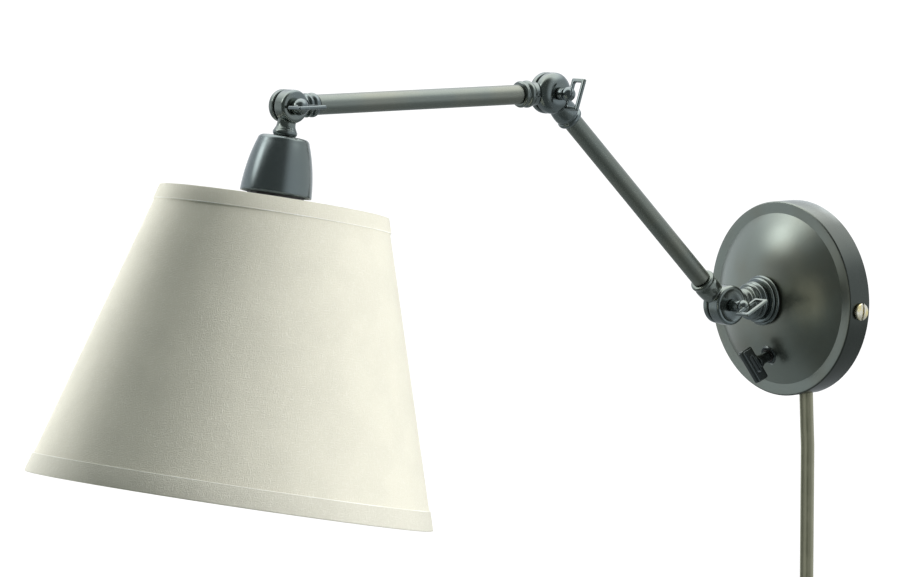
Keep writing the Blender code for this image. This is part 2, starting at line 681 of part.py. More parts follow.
def make_cord():
    """The lead hangs down the wall, bends onto a coil tied below the lamp, and ends in a plug beside it."""
    off = -CORD_OFF_WALL
    coil_x, coil_z = COIL_CENTRE
    drop = [(CORD_X, off, z) for z in (CORD_TOP, -90, -120, -150, -180)]
    drop += [(CORD_X + 0.6, off - 0.4, -186.8), (CORD_X + 2.5, off - 1.0, coil_z + COIL_OUTER - 2.4)]
    strand("power_cord", drop, CORD_WIDTH / 2, "cord_vinyl", step=16)
    coil = pipe(COIL_OUTER, COIL_INNER, COIL_BACK, COIL_FRONT, LARGE)
    piece("cord_coil", coil, "cord_vinyl", place=(coil_x, 0, coil_z), turn=OUT_OF_WALL)
    tie_room = (COIL_OUTER - COIL_INNER + 1.2, COIL_FRONT - COIL_BACK + 1.2)
    outer = rounded_outline(tie_room[0] + 2.0, tie_room[1] + 1.4, 1.2, 3)
    band = loop_plate(outer, rounded_outline(*tie_room, 0.5, 3), TIE_WIDTH)
    band = shifted(band, ((COIL_OUTER + COIL_INNER) / 2, 0, 0))
    depth = (COIL_FRONT + COIL_BACK) / 2
    place = (coil_x, -depth, coil_z)
    piece("cord_tie", band, "black_phenolic", place=place, turn=(0, TIE_ANGLE - 90, 0))
    tail_top = coil_z - 28.5
    tail = [(TAIL_X, -13.2, tail_top), (TAIL_X, -12.0, tail_top - 9), (TAIL_X, -11.0, PLUG_TOP + GAP)]
    strand("cord_tail", tail, CORD_WIDTH / 2, "cord_vinyl", step=5)
    plug = loft((24, 17), (14, 11), -PLUG_LENGTH, 0, 2.2)
    piece("plug_body", plug, "cord_vinyl", place=(TAIL_X, -10.6, PLUG_TOP))
    for name, side in (("plug_blade_right", 1), ("plug_blade_left", -1)):
        blade = loft((4.6, 1.5), (6.3, 1.5), -17, 0, 0.3)
        place = (TAIL_X + side * BLADE_SPACING / 2, -10.6, PLUG_TOP - PLUG_LENGTH - GAP)
        piece(name, moved(blade, Matrix.Rotation(math.pi / 2, 4, "Z")), "brass", place=place)


# ---------------------------------------------------------------- lamp


def main():
    clear_scene()
    wall_joint = Vector((0, -WALL_JOINT_REACH, 0))
    rise = math.radians(LOWER_ARM_RISE)
    elbow_joint = wall_joint + ARM_LENGTH * Vector((0, -math.cos(rise), math.sin(rise)))
    head_joint = elbow_joint + ARM_LENGTH * Vector((0, -1, 0))

    make_canopy()
    make_bracket()
    make_side_screws()
    make_hub_base()
    make_friction_washer()
    make_switch()
    make_wall_wiring()
    make_swivel(wall_joint)
    make_lower_arm(wall_joint)
    make_upper_arm(elbow_joint)
    make_head(head_joint)
    clamp_key("wall_key", wall_joint, -65, CHEEK_FACE + 0.4, 19.0, 20.4)
    clamp_key("elbow_key", elbow_joint, -20, CHEEK_FACE + 0.4, 16.7, 17.2)
    clamp_key("head_key", head_joint, 90, HEAD_CHEEK_FACE + 0.4, 10.4, 10.6)
    make_cord()


main()
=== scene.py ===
import json
import math

import bpy
import bmesh
from mathutils import Matrix, Vector


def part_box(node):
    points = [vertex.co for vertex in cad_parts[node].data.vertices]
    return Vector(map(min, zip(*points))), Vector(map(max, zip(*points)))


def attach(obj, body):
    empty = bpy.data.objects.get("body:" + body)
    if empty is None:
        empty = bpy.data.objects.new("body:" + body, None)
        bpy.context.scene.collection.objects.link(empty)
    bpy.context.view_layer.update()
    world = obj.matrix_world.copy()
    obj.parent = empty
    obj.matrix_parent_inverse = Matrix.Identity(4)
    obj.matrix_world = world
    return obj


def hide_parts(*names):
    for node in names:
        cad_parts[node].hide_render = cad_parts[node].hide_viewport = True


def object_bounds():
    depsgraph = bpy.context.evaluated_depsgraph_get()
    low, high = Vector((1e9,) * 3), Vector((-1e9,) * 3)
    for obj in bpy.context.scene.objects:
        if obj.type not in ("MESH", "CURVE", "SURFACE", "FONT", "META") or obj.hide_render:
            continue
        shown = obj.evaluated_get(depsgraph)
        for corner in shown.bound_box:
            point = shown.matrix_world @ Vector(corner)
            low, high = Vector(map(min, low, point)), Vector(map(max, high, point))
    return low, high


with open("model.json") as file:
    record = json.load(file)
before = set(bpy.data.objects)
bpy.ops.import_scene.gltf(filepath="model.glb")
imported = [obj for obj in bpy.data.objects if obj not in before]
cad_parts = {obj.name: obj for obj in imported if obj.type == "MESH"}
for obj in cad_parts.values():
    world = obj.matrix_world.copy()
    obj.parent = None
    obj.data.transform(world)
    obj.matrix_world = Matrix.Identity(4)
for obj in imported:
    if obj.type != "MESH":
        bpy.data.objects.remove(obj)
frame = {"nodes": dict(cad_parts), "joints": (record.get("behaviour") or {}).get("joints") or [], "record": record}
cad_low, cad_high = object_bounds()

bl_info = {
    "name": "Jointed Wall Lamp",
    "version": (1, 0, 0),
    "blender": (4, 5, 0),
    "location": "3D View > Sidebar > Wall Lamp",
    "description": "Builds a plug-in wall lamp with two jointed arms and a linen shade, piece by piece",
    "category": "Object",
}

MM = 0.001

# ---------------------------------------------------------------- places, from the frame

JOINTS = {joint["name"]: joint for joint in frame["joints"]}
MOUNTS = {mount["name"]: mount for mount in frame["record"]["mounts"]}
WALL_JOINT = Vector(JOINTS["wall_knuckle"]["pos_m"])
ELBOW_JOINT = Vector(JOINTS["elbow"]["pos_m"])
HEAD_JOINT = Vector(JOINTS["head_tilt"]["pos_m"])
SWITCH_PLACE = Vector(JOINTS["switch_turn"]["pos_m"])
SWITCH_AXIS = Vector(JOINTS["switch_turn"]["axis"])
HEAD_AXIS = Vector(MOUNTS["bulb_socket"]["axis"])
ARM_LENGTH = (ELBOW_JOINT - WALL_JOINT).length / MM
PLATE_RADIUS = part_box("wall_plate")[1].x / MM
DOME_HEIGHT = -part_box("wall_plate")[0].y / MM
CORD_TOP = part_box("power_cord")[1]
COIL_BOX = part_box("cord_coil")
PLUG_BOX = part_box("plug_body")


def upright_along(place, direction):
    """A frame at a place whose Z runs along a direction in the plane x = 0, and whose X stays +X."""
    turn = math.atan2(-direction.y, direction.z)
    return Matrix.Translation(place) @ Matrix.Rotation(turn, 4, "X")


OUT_OF_WALL = upright_along(Vector((0, 0, 0)), Vector((0, -1, 0)))
LOWER_ARM = upright_along(WALL_JOINT, ELBOW_JOINT - WALL_JOINT)
LOWER_ARM_BACK = upright_along(ELBOW_JOINT, WALL_JOINT - ELBOW_JOINT)
UPPER_ARM = upright_along(ELBOW_JOINT, HEAD_JOINT - ELBOW_JOINT)
UPPER_ARM_BACK = upright_along(HEAD_JOINT, ELBOW_JOINT - HEAD_JOINT)
SWIVEL = upright_along(WALL_JOINT, Vector((0, 1, 0)))
HEAD = upright_along(HEAD_JOINT, HEAD_AXIS)
SWITCH = upright_along(SWITCH_PLACE, SWITCH_AXIS)

# ---------------------------------------------------------------- settings


def length_property(name, description, default):
    """A length whose default is given in millimetres."""
    return bpy.props.FloatProperty(name=name, description=description, default=default * MM, unit="LENGTH")


class LampSizes(bpy.types.PropertyGroup):
    """Sizes of the fine shapes that the lamp's looks add to its frame"""

    rim_round: length_property("Rim rounding", "Radius of the wall plate's front edge", 1.0)
    casting_voxel: length_property("Casting detail", "Grid that the cast knuckles are skinned on", 0.27)
    casting_fillet: bpy.props.IntProperty(
        name="Casting fillets", description="Rounds of smoothing on the cast knuckles", default=9, min=0
    )
    shade_top_radius: length_property("Shade top radius", "Outer radius of the shade's top rim", 64)
    shade_bottom_radius: length_property("Shade bottom radius", "Outer radius of the shade's bottom rim", 114)
    shade_slant: length_property("Shade slant", "Length of the shade's side", 175)
    shade_top: length_property("Shade place", "From the head joint to the shade's top rim", 54)
    top_fold: length_property("Top fold", "Width of the band folded over the top rim", 8)
    bottom_fold: length_property("Bottom fold", "Width of the band folded over the bottom rim", 10)
    fold_proud: length_property("Fold height", "How far the folded bands stand out", 0.75)
    thread_pitch: length_property("Thread pitch", "Distance between the linen's threads", 0.62)
    cord_width: length_property("Cord width", "Width of the flat two-core lead", 8.5)
    cord_thickness: length_property("Cord thickness", "Thickness of the flat two-core lead", 4.2)
    cord_length: length_property("Cord length", "Whole length of the mains lead", 1800)


def colour_property(name, description, default):
    return bpy.props.FloatVectorProperty(
        name=name, description=description, subtype="COLOR", size=3, min=0.0, max=1.0, default=default
    )


class LampColours(bpy.types.PropertyGroup):
    """Colours of the lamp's finishes, as linear values"""

    gunmetal: colour_property("Gunmetal", "Satin metal of the arms and the plate", (0.150, 0.170, 0.152))
    gunmetal_warm: colour_property("Gunmetal patina", "Warmer patches of the patina", (0.172, 0.182, 0.152))
    # The worn-edge colour is both wear and a painted highlight along rounded edges.
    gunmetal_edge_highlight: colour_property("Worn edge", "Metal where edges are rubbed bright", (0.46, 0.50, 0.48))
    gunmetal_blue: colour_property("Blued metal", "Colder metal of castings and cup", (0.135, 0.160, 0.160))
    linen: colour_property("Linen", "Cream linen of the shade", (0.86, 0.84, 0.745))
    linen_shadow: colour_property("Linen between threads", "Deeper tone between threads", (0.66, 0.65, 0.53))
    linen_slub: colour_property("Linen slubs", "Thick pale threads", (0.95, 0.94, 0.88))
    lining: colour_property("Lining", "White plastic behind the linen", (0.86, 0.86, 0.84))
    cord: colour_property("Cord", "Olive brown sleeve of the mains lead", (0.185, 0.188, 0.140))
    # Painted shade along the groove between the two cores.
    cord_groove_shade: colour_property("Cord web", "Darker groove between the two cores", (0.100, 0.106, 0.070))
    nickel: colour_property("Nickel", "Plated side screws", (0.66, 0.64, 0.56))
    nickel_warm: colour_property("Brass under nickel", "Brass where the plating is thin", (0.62, 0.52, 0.22))
    brass: colour_property("Brass", "Spindle, nut, socket shell and plug blades", (0.72, 0.53, 0.24))
    zinc: colour_property("Zinc", "Plated steel strap and nuts", (0.52, 0.53, 0.54))
    black: colour_property("Black phenolic", "Switch, socket and shade ring", (0.022, 0.022, 0.024))
    fibre: colour_property("Fibre", "Friction washers", (0.10, 0.085, 0.065))
    opal: colour_property("Opal glass", "Bulb", (0.93, 0.93, 0.90))
    white_wire: colour_property("Enamelled wire", "Shade frame", (0.74, 0.74, 0.71))
    wire_joint: colour_property("Wire joints", "Screw-on joints of the house wires", (0.60, 0.27, 0.05))
    lead: colour_property("Lead sleeve", "Sleeve of the inner leads", (0.030, 0.030, 0.032))


# ---------------------------------------------------------------- outlines, in millimetres


def arc(centre, radius, start, end, count):
    """Points on an arc of a (radius, height) outline, from one angle to another, in degrees."""
    angles = [math.radians(start + (end - start) * i / (count - 1)) for i in range(count)]
    return [(centre[0] + radius * math.cos(a), centre[1] + radius * math.sin(a)) for a in angles]


def sweep(start, pull_a, pull_b, end, count=20):
    """Points on a cubic curve between two outline points."""
    points = []
    for i in range(count):
        t = i / (count - 1)
        weights = ((1 - t) ** 3, 3 * t * (1 - t) ** 2, 3 * t * t * (1 - t), t**3)
        corners = (start, pull_a, pull_b, end)
        points.append(tuple(sum(w * c[k] for w, c in zip(weights, corners)) for k in (0, 1)))
    return points


def bead(foot, crown, low, high, count=13):
    """A half-round turned ring that rises from one radius to another, between two heights."""
    angles = [math.pi * i / (count - 1) for i in range(count)]
    middle, half = (low + high) / 2, (high - low) / 2
    return [(foot + (crown - foot) * math.sin(a), middle - half * math.cos(a)) for a in angles]


# ---------------------------------------------------------------- modelling by hand


def deselect():
    if bpy.context.object and bpy.context.object.mode != "OBJECT":
        bpy.ops.object.mode_set(mode="OBJECT")
    bpy.ops.object.select_all(action="DESELECT")


def pick(obj):
    deselect()
    obj.select_set(True)
    bpy.context.view_layer.objects.active = obj
    return obj


def clean(obj, merge=1e-6):
    """Merges doubled points and turns every face outwards."""
    pick(obj)
    bpy.ops.object.mode_set(mode="EDIT")
    bpy.ops.mesh.select_all(action="SELECT")
    bpy.ops.mesh.remove_doubles(threshold=merge)
    bpy.ops.mesh.normals_make_consistent(inside=False)
    bpy.ops.object.mode_set(mode="OBJECT")
    return obj


def turned(outline, steps=96):
    """Extrudes a point along a (radius, height) outline and spins it round Z; off the axis it is closed."""
    deselect()
    bpy.ops.mesh.primitive_plane_add(size=MM)
    obj = bpy.context.object
    bpy.ops.object.mode_set(mode="EDIT")
    bpy.ops.mesh.select_mode(type="VERT")
    bpy.ops.mesh.merge(type="CENTER")
    route = list(outline)
    if outline[0][0] > 0 and outline[0] != outline[-1]:
        route.append(outline[0])
    bpy.ops.transform.translate(value=(route[0][0] * MM, 0, route[0][1] * MM))
    for before, after in zip(route, route[1:]):
        step = ((after[0] - before[0]) * MM, 0, (after[1] - before[1]) * MM)
        bpy.ops.mesh.extrude_region_move(TRANSFORM_OT_translate={"value": step})
    bpy.ops.mesh.select_all(action="SELECT")
    bpy.ops.mesh.spin(steps=steps, angle=math.tau, center=(0, 0, 0), axis=(0, 0, 1))
    bpy.ops.object.mode_set(mode="OBJECT")
    return clean(obj)


def place(obj, matrix):
    """Puts a piece in its place and leaves its object at the origin."""
    pick(obj)
    obj.matrix_world = matrix
    bpy.ops.object.transform_apply(location=True, rotation=True, scale=True)
    return obj


ON_X = Matrix.Rotation(math.pi / 2, 4, "Y")


def turned_on_x(outline, steps=96):
    return place(turned(outline, steps), ON_X)


def block(size, centre=(0, 0, 0)):
    deselect()
    bpy.ops.mesh.primitive_cube_add(size=1, location=Vector(centre) * MM, scale=Vector(size) * MM)
    bpy.ops.object.transform_apply(location=True, rotation=True, scale=True)
    return bpy.context.object


def rod(radius, low, high, vertices=64):
    deselect()
    middle = Vector((0, 0, (low + high) / 2 * MM))
    bpy.ops.mesh.primitive_cylinder_add(
        vertices=vertices, radius=radius * MM, depth=(high - low) * MM, location=middle
    )
    bpy.ops.object.transform_apply(location=True, rotation=True, scale=True)
    return bpy.context.object


def edit_faces(obj, chosen):
    """Goes into edit mode with only the chosen faces selected."""
    pick(obj)
    bpy.ops.object.mode_set(mode="EDIT")
    bpy.ops.mesh.select_mode(type="FACE")
    bpy.ops.mesh.select_all(action="DESELECT")
    bpy.ops.object.mode_set(mode="OBJECT")
    for face in obj.data.polygons:
        face.select = chosen(face)
    bpy.ops.object.mode_set(mode="EDIT")


def modify(obj, kind, **settings):
    """Adds one modifier and applies it."""
    pick(obj)
    bpy.ops.object.modifier_add(type=kind)
    modifier = obj.modifiers[-1]
    for key, value in settings.items():
        setattr(modifier, key, value)
    bpy.ops.object.modifier_apply(modifier=modifier.name)
    return obj


def ease(obj, width, segments, angle=30):
    """Bevels the edges that are sharper than an angle."""
    settings = {"limit_method": "ANGLE", "angle_limit": math.radians(angle)}
    return modify(obj, "BEVEL", width=width * MM, segments=segments, **settings)


def combine(obj, others, operation):
    for other in others:
        modify(obj, "BOOLEAN", operation=operation, object=other, solver="EXACT")
        bpy.data.objects.remove(other, do_unlink=True)
    return obj


def unite(obj, *others):
    return combine(obj, others, "UNION")


def cut(obj, *others):
    return combine(obj, others, "DIFFERENCE")


def skin(obj, sizes, rounds=None):
    """Skins a piece on a fine grid and smooths it, so that its inner corners fill like a casting's."""
    modify(obj, "REMESH", mode="VOXEL", voxel_size=sizes.casting_voxel, use_smooth_shade=True)
    modify(obj, "SMOOTH", factor=0.5, iterations=sizes.casting_fillet if rounds is None else rounds)
    return obj


def joined(obj, *others):
    """Separate shells of one piece in one object."""
    pick(obj)
    for other in others:
        other.select_set(True)
    bpy.ops.object.join()
    return obj


def keep(obj, name, body, material, nodes, angle=30):
    """Names a finished piece, shades it, gives it its material and ties it to the frame."""
    pick(obj)
    obj.name = name
    obj.data.name = name
    obj.data.materials.clear()
    obj.data.materials.append(material)
    for face in obj.data.polygons:
        face.material_index = 0
    bpy.ops.object.shade_smooth_by_angle(angle=math.radians(angle))
    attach(obj, body)
    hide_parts(*nodes)
    return obj


# ---------------------------------------------------------------- shader groups


def group(name, inputs, outputs):
    """A shader node group with named sockets, its input and output nodes, and a function that adds nodes."""
    tree = bpy.data.node_groups.new(name, "ShaderNodeTree")
    for socket, kind, default in inputs:
        item = tree.interface.new_socket(socket, in_out="INPUT", socket_type=kind)
        if default is not None:
            item.default_value = default
    for socket, kind in outputs:
        tree.interface.new_socket(socket, in_out="OUTPUT", socket_type=kind)
    return tree, tree.nodes.new("NodeGroupInput"), tree.nodes.new("NodeGroupOutput")


def add(tree, kind, links=None, **settings):
    """Adds a node, sets its properties and links its inputs, which are named or numbered."""
    node = tree.nodes.new(kind)
    for key, value in settings.items():
        setattr(node, key, value)
    for socket, source in (links or {}).items():
        if isinstance(source, bpy.types.NodeSocket):
            tree.links.new(source, node.inputs[socket])
        else:
            node.inputs[socket].default_value = source
    return node


def math_node(tree, operation, a, b=0.0, clamp=False):
    return add(tree, "ShaderNodeMath", {0: a, 1: b}, operation=operation, use_clamp=clamp).outputs[0]


def remap(tree, value, low, high, to_low=0.0, to_high=1.0, smooth=True):
    kind = "SMOOTHSTEP" if smooth else "LINEAR"
    links = {"Value": value, "From Min": low, "From Max": high, "To Min": to_low, "To Max": to_high}
    return add(tree, "ShaderNodeMapRange", links, interpolation_type=kind).outputs[0]


def mix_colour(tree, factor, a, b):
    links = {"Factor": factor, 6: a, 7: b}
    return add(tree, "ShaderNodeMix", links, data_type="RGBA").outputs[2]


def mix_shader(tree, factor, a, b):
    return add(tree, "ShaderNodeMixShader", {0: factor, 1: a, 2: b}).outputs[0]


def vector_node(tree, operation, a, b=None):
    """One step of vector arithmetic; a length and a dot product are plain values."""
    links = {0: a}
    if b is not None:
        links["Scale" if operation == "SCALE" else 1] = b
    node = add(tree, "ShaderNodeVectorMath", links, operation=operation)
    return node.outputs["Value" if operation in ("LENGTH", "DOT_PRODUCT") else "Vector"]


def axis_of(tree, vector, axis):
    return add(tree, "ShaderNodeSeparateXYZ", {0: vector}).outputs[axis]


def noise(tree, vector, scale, detail=2.0, roughness=0.5):
    links = {"Vector": vector, "Scale": scale, "Detail": detail, "Roughness": roughness}
    return add(tree, "ShaderNodeTexNoise", links).outputs["Fac"]


def edge_wear_and_highlight_group():
    """Mask of the convex edges, broken up by a noise: wear, and a painted highlight along the edges."""
    inputs = [
        ("Vector", "NodeSocketVector", None),
        ("From", "NodeSocketFloat", 0.515),
        ("To", "NodeSocketFloat", 0.60),
        ("Patchiness", "NodeSocketFloat", 0.35),
    ]
    tree, source, sink = group("edge_wear_and_highlight", inputs, [("Mask", "NodeSocketFloat")])
    point = add(tree, "ShaderNodeNewGeometry").outputs["Pointiness"]
    edge = remap(tree, point, source.outputs["From"], source.outputs["To"])
    patches = remap(tree, noise(tree, source.outputs["Vector"], 180.0, 3.0), 0.35, 0.65)
    broken = math_node(tree, "MULTIPLY", source.outputs["Patchiness"], patches)
    left = math_node(tree, "SUBTRACT", 1.0, broken)
    tree.links.new(math_node(tree, "MULTIPLY", edge, left, True), sink.inputs["Mask"])
    return tree


def patina_group():
    """Slow cloudy patches and a fine mottle, as a mask and a roughness offset."""
    inputs = [("Vector", "NodeSocketVector", None), ("Patch Scale", "NodeSocketFloat", 26.0)]
    outputs = [("Patches", "NodeSocketFloat"), ("Mottle", "NodeSocketFloat")]
    tree, source, sink = group("patina", inputs, outputs)
    vector = source.outputs["Vector"]
    patches = remap(tree, noise(tree, vector, source.outputs["Patch Scale"], 3.0, 0.55), 0.38, 0.66)
    tree.links.new(patches, sink.inputs["Patches"])
    mottle = noise(tree, vector, 420.0, 4.0, 0.6)
    tree.links.new(mottle, sink.inputs["Mottle"])
    return tree


def grain_group():
    """Fine satin tooth of a rubbed or cast surface, as a normal."""
    inputs = [
        ("Vector", "NodeSocketVector", None),
        ("Scale", "NodeSocketFloat", 1500.0),
        ("Strength", "NodeSocketFloat", 0.12),
        ("Height", "NodeSocketFloat", 0.000012),
    ]
    tree, source, sink = group("fine_grain", inputs, [("Normal", "NodeSocketVector")])
    tooth = noise(tree, source.outputs["Vector"], source.outputs["Scale"], 3.0, 0.6)
    links = {"Strength": source.outputs["Strength"], "Distance": source.outputs["Height"], "Height": tooth}
    bump = add(tree, "ShaderNodeBump", links)
    tree.links.new(bump.outputs["Normal"], sink.inputs["Normal"])
    return tree


def weave_group():
    """Plain weave: two sets of threads that pass over and under, with slubs, from a map in metres."""
    inputs = [("Vector", "NodeSocketVector", None), ("Pitch", "NodeSocketFloat", 0.0006)]
    outputs = [("Height", "NodeSocketFloat"), ("Gap", "NodeSocketFloat"), ("Slub", "NodeSocketFloat")]
    tree, source, sink = group("plain_weave", inputs, outputs)
    vector = source.outputs["Vector"]
    wander = add(tree, "ShaderNodeTexNoise", {"Vector": vector, "Scale": 90.0, "Detail": 2.0})
    drift = vector_node(tree, "ADD", wander.outputs["Color"], (-0.5, -0.5, -0.5))
    moved = vector_node(tree, "ADD", vector, vector_node(tree, "SCALE", drift, 0.0009))
    parts = add(tree, "ShaderNodeSeparateXYZ", {0: moved})
    turns = []
    for axis in ("X", "Y"):
        threads = math_node(tree, "DIVIDE", parts.outputs[axis], source.outputs["Pitch"])
        turns.append(math_node(tree, "MULTIPLY", threads, math.pi))
    warp, weft = [math_node(tree, "ABSOLUTE", math_node(tree, "SINE", turn)) for turn in turns]
    over = math_node(tree, "MULTIPLY", *[math_node(tree, "COSINE", turn) for turn in turns])
    rise = remap(tree, over, -1.0, 1.0, 0.25, 1.0, False)
    fall = remap(tree, over, -1.0, 1.0, 1.0, 0.25, False)
    threads = [math_node(tree, "MULTIPLY", *pair) for pair in ((warp, rise), (weft, fall))]
    top = math_node(tree, "MAXIMUM", *threads)
    slubs = []
    for stretch in ((1.0, 0.2, 1.0), (0.2, 1.0, 1.0)):
        run = vector_node(tree, "MULTIPLY", vector, stretch)
        slubs.append(remap(tree, noise(tree, run, 1300.0, 2.0, 0.6), 0.5, 0.8))
    slub = math_node(tree, "MAXIMUM", *slubs)
    lumps = noise(tree, vector, 1500.0, 3.0, 0.7)
    height = math_node(tree, "ADD", top, math_node(tree, "MULTIPLY", slub, 0.7))
    height = math_node(tree, "ADD", height, math_node(tree, "MULTIPLY", lumps, 2.2))
    tree.links.new(height, sink.inputs["Height"])
    tree.links.new(remap(tree, top, 0.15, 0.75, 1.0, 0.0), sink.inputs["Gap"])
    tree.links.new(slub, sink.inputs["Slub"])
    return tree


def dust_group():
    """Light dust on faces that look up, as a mask."""
    inputs = [("Vector", "NodeSocketVector", None), ("Amount", "NodeSocketFloat", 0.1)]
    tree, source, sink = group("dust", inputs, [("Mask", "NodeSocketFloat")])
    normal = add(tree, "ShaderNodeNewGeometry").outputs["Normal"]
    up = remap(tree, axis_of(tree, normal, "Z"), 0.2, 1.0)
    specks = remap(tree, noise(tree, source.outputs["Vector"], 600.0, 4.0, 0.7), 0.4, 0.7)
    amount = math_node(tree, "MULTIPLY", source.outputs["Amount"], specks)
    tree.links.new(math_node(tree, "MULTIPLY", up, amount), sink.inputs["Mask"])
    return tree


GROUP_MAKERS = {
    "edge_wear_and_highlight": edge_wear_and_highlight_group,
    "patina": patina_group,
    "fine_grain": grain_group,
    "plain_weave": weave_group,
    "dust": dust_group,
}


def use_group(tree, name, vector, **values):
    """Places a shared group in a material, made the first time it is asked for."""
    shared = bpy.data.node_groups.get(name) or GROUP_MAKERS[name]()
    node = add(tree, "ShaderNodeGroup", node_tree=shared)
    tree.links.new(vector, node.inputs["Vector"])
    for socket, value in values.items():
        node.inputs[socket.replace("_", " ")].default_value = value
    return node


# ---------------------------------------------------------------- materials


def started(name, **constants):
    """A new material: its tree, its shader with the constants set, and its Object coordinates."""
    material = bpy.data.materials.new(name)
    material.use_nodes = True
    tree = material.node_tree
    shader = tree.nodes["Principled BSDF"]
    for socket, value in constants.items():
        shader.inputs[socket.replace("_", " ")].default_value = value
    return material, tree, shader, add(tree, "ShaderNodeTexCoord").outputs["Object"]


def dress(tree, shader, colour, rough=None, normal=None):
    """Links a material's colour and, where they aren't even, its roughness and its normal."""
    for socket, source in (("Base Color", colour), ("Roughness", rough), ("Normal", normal)):
        if source is not None:
            tree.links.new(source, shader.inputs[socket])


def rgba(colour):
    return (*colour, 1.0)


def deeper(colour, share):
    return [c * share for c in colour]


WHITE = rgba((1.0, 1.0, 1.0))
DUST = rgba((0.30, 0.29, 0.27))


def metal(name, body, patch, edge, roughness, wear_and_highlight_band, grain, patch_scale, dust=0.03):
    """Satin metal with a cloudy patina, edges rubbed bright and painted with a highlight, a fine tooth and a
    little dust.
    """
    made = bpy.data.materials.get(name)
    if made:
        return made
    made, tree, shader, where = started(name, Metallic=0.92, Specular_IOR_Level=0.5)
    patina = use_group(tree, "patina", where, Patch_Scale=patch_scale)
    wear_and_highlight = use_group(tree, "edge_wear_and_highlight", where, From=wear_and_highlight_band[0], To=wear_and_highlight_band[1])
    dusty = use_group(tree, "dust", where, Amount=dust)
    colour = mix_colour(tree, patina.outputs["Patches"], rgba(body), rgba(patch))
    # Edges lightened: wear, and a painted highlight along them.
    colour = mix_colour(tree, wear_and_highlight.outputs["Mask"], colour, rgba(edge))
    colour = mix_colour(tree, dusty.outputs["Mask"], colour, DUST)
    rough = remap(tree, patina.outputs["Mottle"], 0.3, 0.7, roughness - 0.02, roughness + 0.02, False)
    rough = math_node(tree, "SUBTRACT", rough, math_node(tree, "MULTIPLY", wear_and_highlight.outputs["Mask"], 0.08))
    tooth = use_group(tree, "fine_grain", where, Strength=grain)
    dress(tree, shader, colour, rough, tooth.outputs["Normal"])
    return made


def painted_wall_shade(made, body):
    """Paints shade on the spun plate's upright wall: darker than its face, most of all below its top."""
    tree = made.node_tree
    base = tree.nodes["Principled BSDF"].inputs["Base Color"]
    face = base.links[0].from_socket
    where = add(tree, "ShaderNodeTexCoord").outputs["Object"]
    reach = vector_node(tree, "LENGTH", vector_node(tree, "MULTIPLY", where, (1.0, 0.0, 1.0)))
    # painted shade: the wall's tone is pulled down towards 30 percent of the plate's, less near its top
    wall = remap(tree, reach, 0.0592, 0.0601)
    wall = math_node(tree, "MULTIPLY", wall, remap(tree, axis_of(tree, where, "Z"), 0.046, 0.060, 1.0, 0.35))
    tree.links.new(mix_colour(tree, wall, face, rgba(deeper(body, 0.3))), base)
    return made


def gunmetal(colours, kind):
    """The lamp's dark finish, as it came out on each kind of piece."""
    body, blue, warm = colours.gunmetal, colours.gunmetal_blue, colours.gunmetal_warm
    spun = deeper(body, 1.25)
    # The plate's low, wide edge band paints a bright highlight line round its rim, besides the wear.
    name, ground, patch, roughness, wear_and_highlight_band, grain, patch_scale = {
        "plate": ("gunmetal_spun", spun, warm, 0.30, (0.508, 0.56), 0.015, 18.0),
        "tube": ("gunmetal_drawn", body, warm, 0.35, (0.62, 0.85), 0.008, 22.0),
        "cup": ("gunmetal_cup", blue, body, 0.22, (0.60, 0.80), 0.02, 12.0),
        "switch": ("gunmetal_dark", deeper(blue, 0.42), deeper(body, 0.5), 0.24, (0.62, 0.85), 0.03, 60.0),
        "cast": ("gunmetal_cast", blue, body, 0.17, (0.62, 0.85), 0.03, 40.0),
    }[kind]
    made = bpy.data.materials.get(name)
    if made:
        return made
    made = metal(name, ground, patch, colours.gunmetal_edge_highlight, roughness, wear_and_highlight_band, grain, patch_scale)
    return painted_wall_shade(made, spun) if kind == "plate" else made


def plated(name, colour, second, roughness=0.26):
    return metal(name, colour, second, colour, roughness, (0.53, 0.65), 0.06, 150.0, 0.03)


def moulded(name, colour, roughness=0.42, scale=900.0, strength=0.15, cloud=1.18):
    """Moulded plastic with a faint skin texture and slow changes of gloss."""
    made = bpy.data.materials.get(name)
    if made:
        return made
    made, tree, shader, where = started(name)
    patina = use_group(tree, "patina", where, Patch_Scale=60.0)
    lighter = [min(1.0, c * cloud + 0.004) for c in colour]
    clouded = mix_colour(tree, patina.outputs["Patches"], rgba(colour), rgba(lighter))
    rough = remap(tree, patina.outputs["Mottle"], 0.3, 0.7, roughness - 0.06, roughness + 0.06, False)
    skin_grain = use_group(tree, "fine_grain", where, Scale=scale, Strength=strength)
    dress(tree, shader, clouded, rough, skin_grain.outputs["Normal"])
    return made


def bright_brass(colours):
    return plated("bright_brass", colours.brass, colours.nickel_warm)


def pressed_fibre(colours):
    return moulded("pressed_fibre", colours.fibre, 0.8, 700.0, 0.6)


def black_phenolic(colours):
    return moulded("black_phenolic", colours.black)


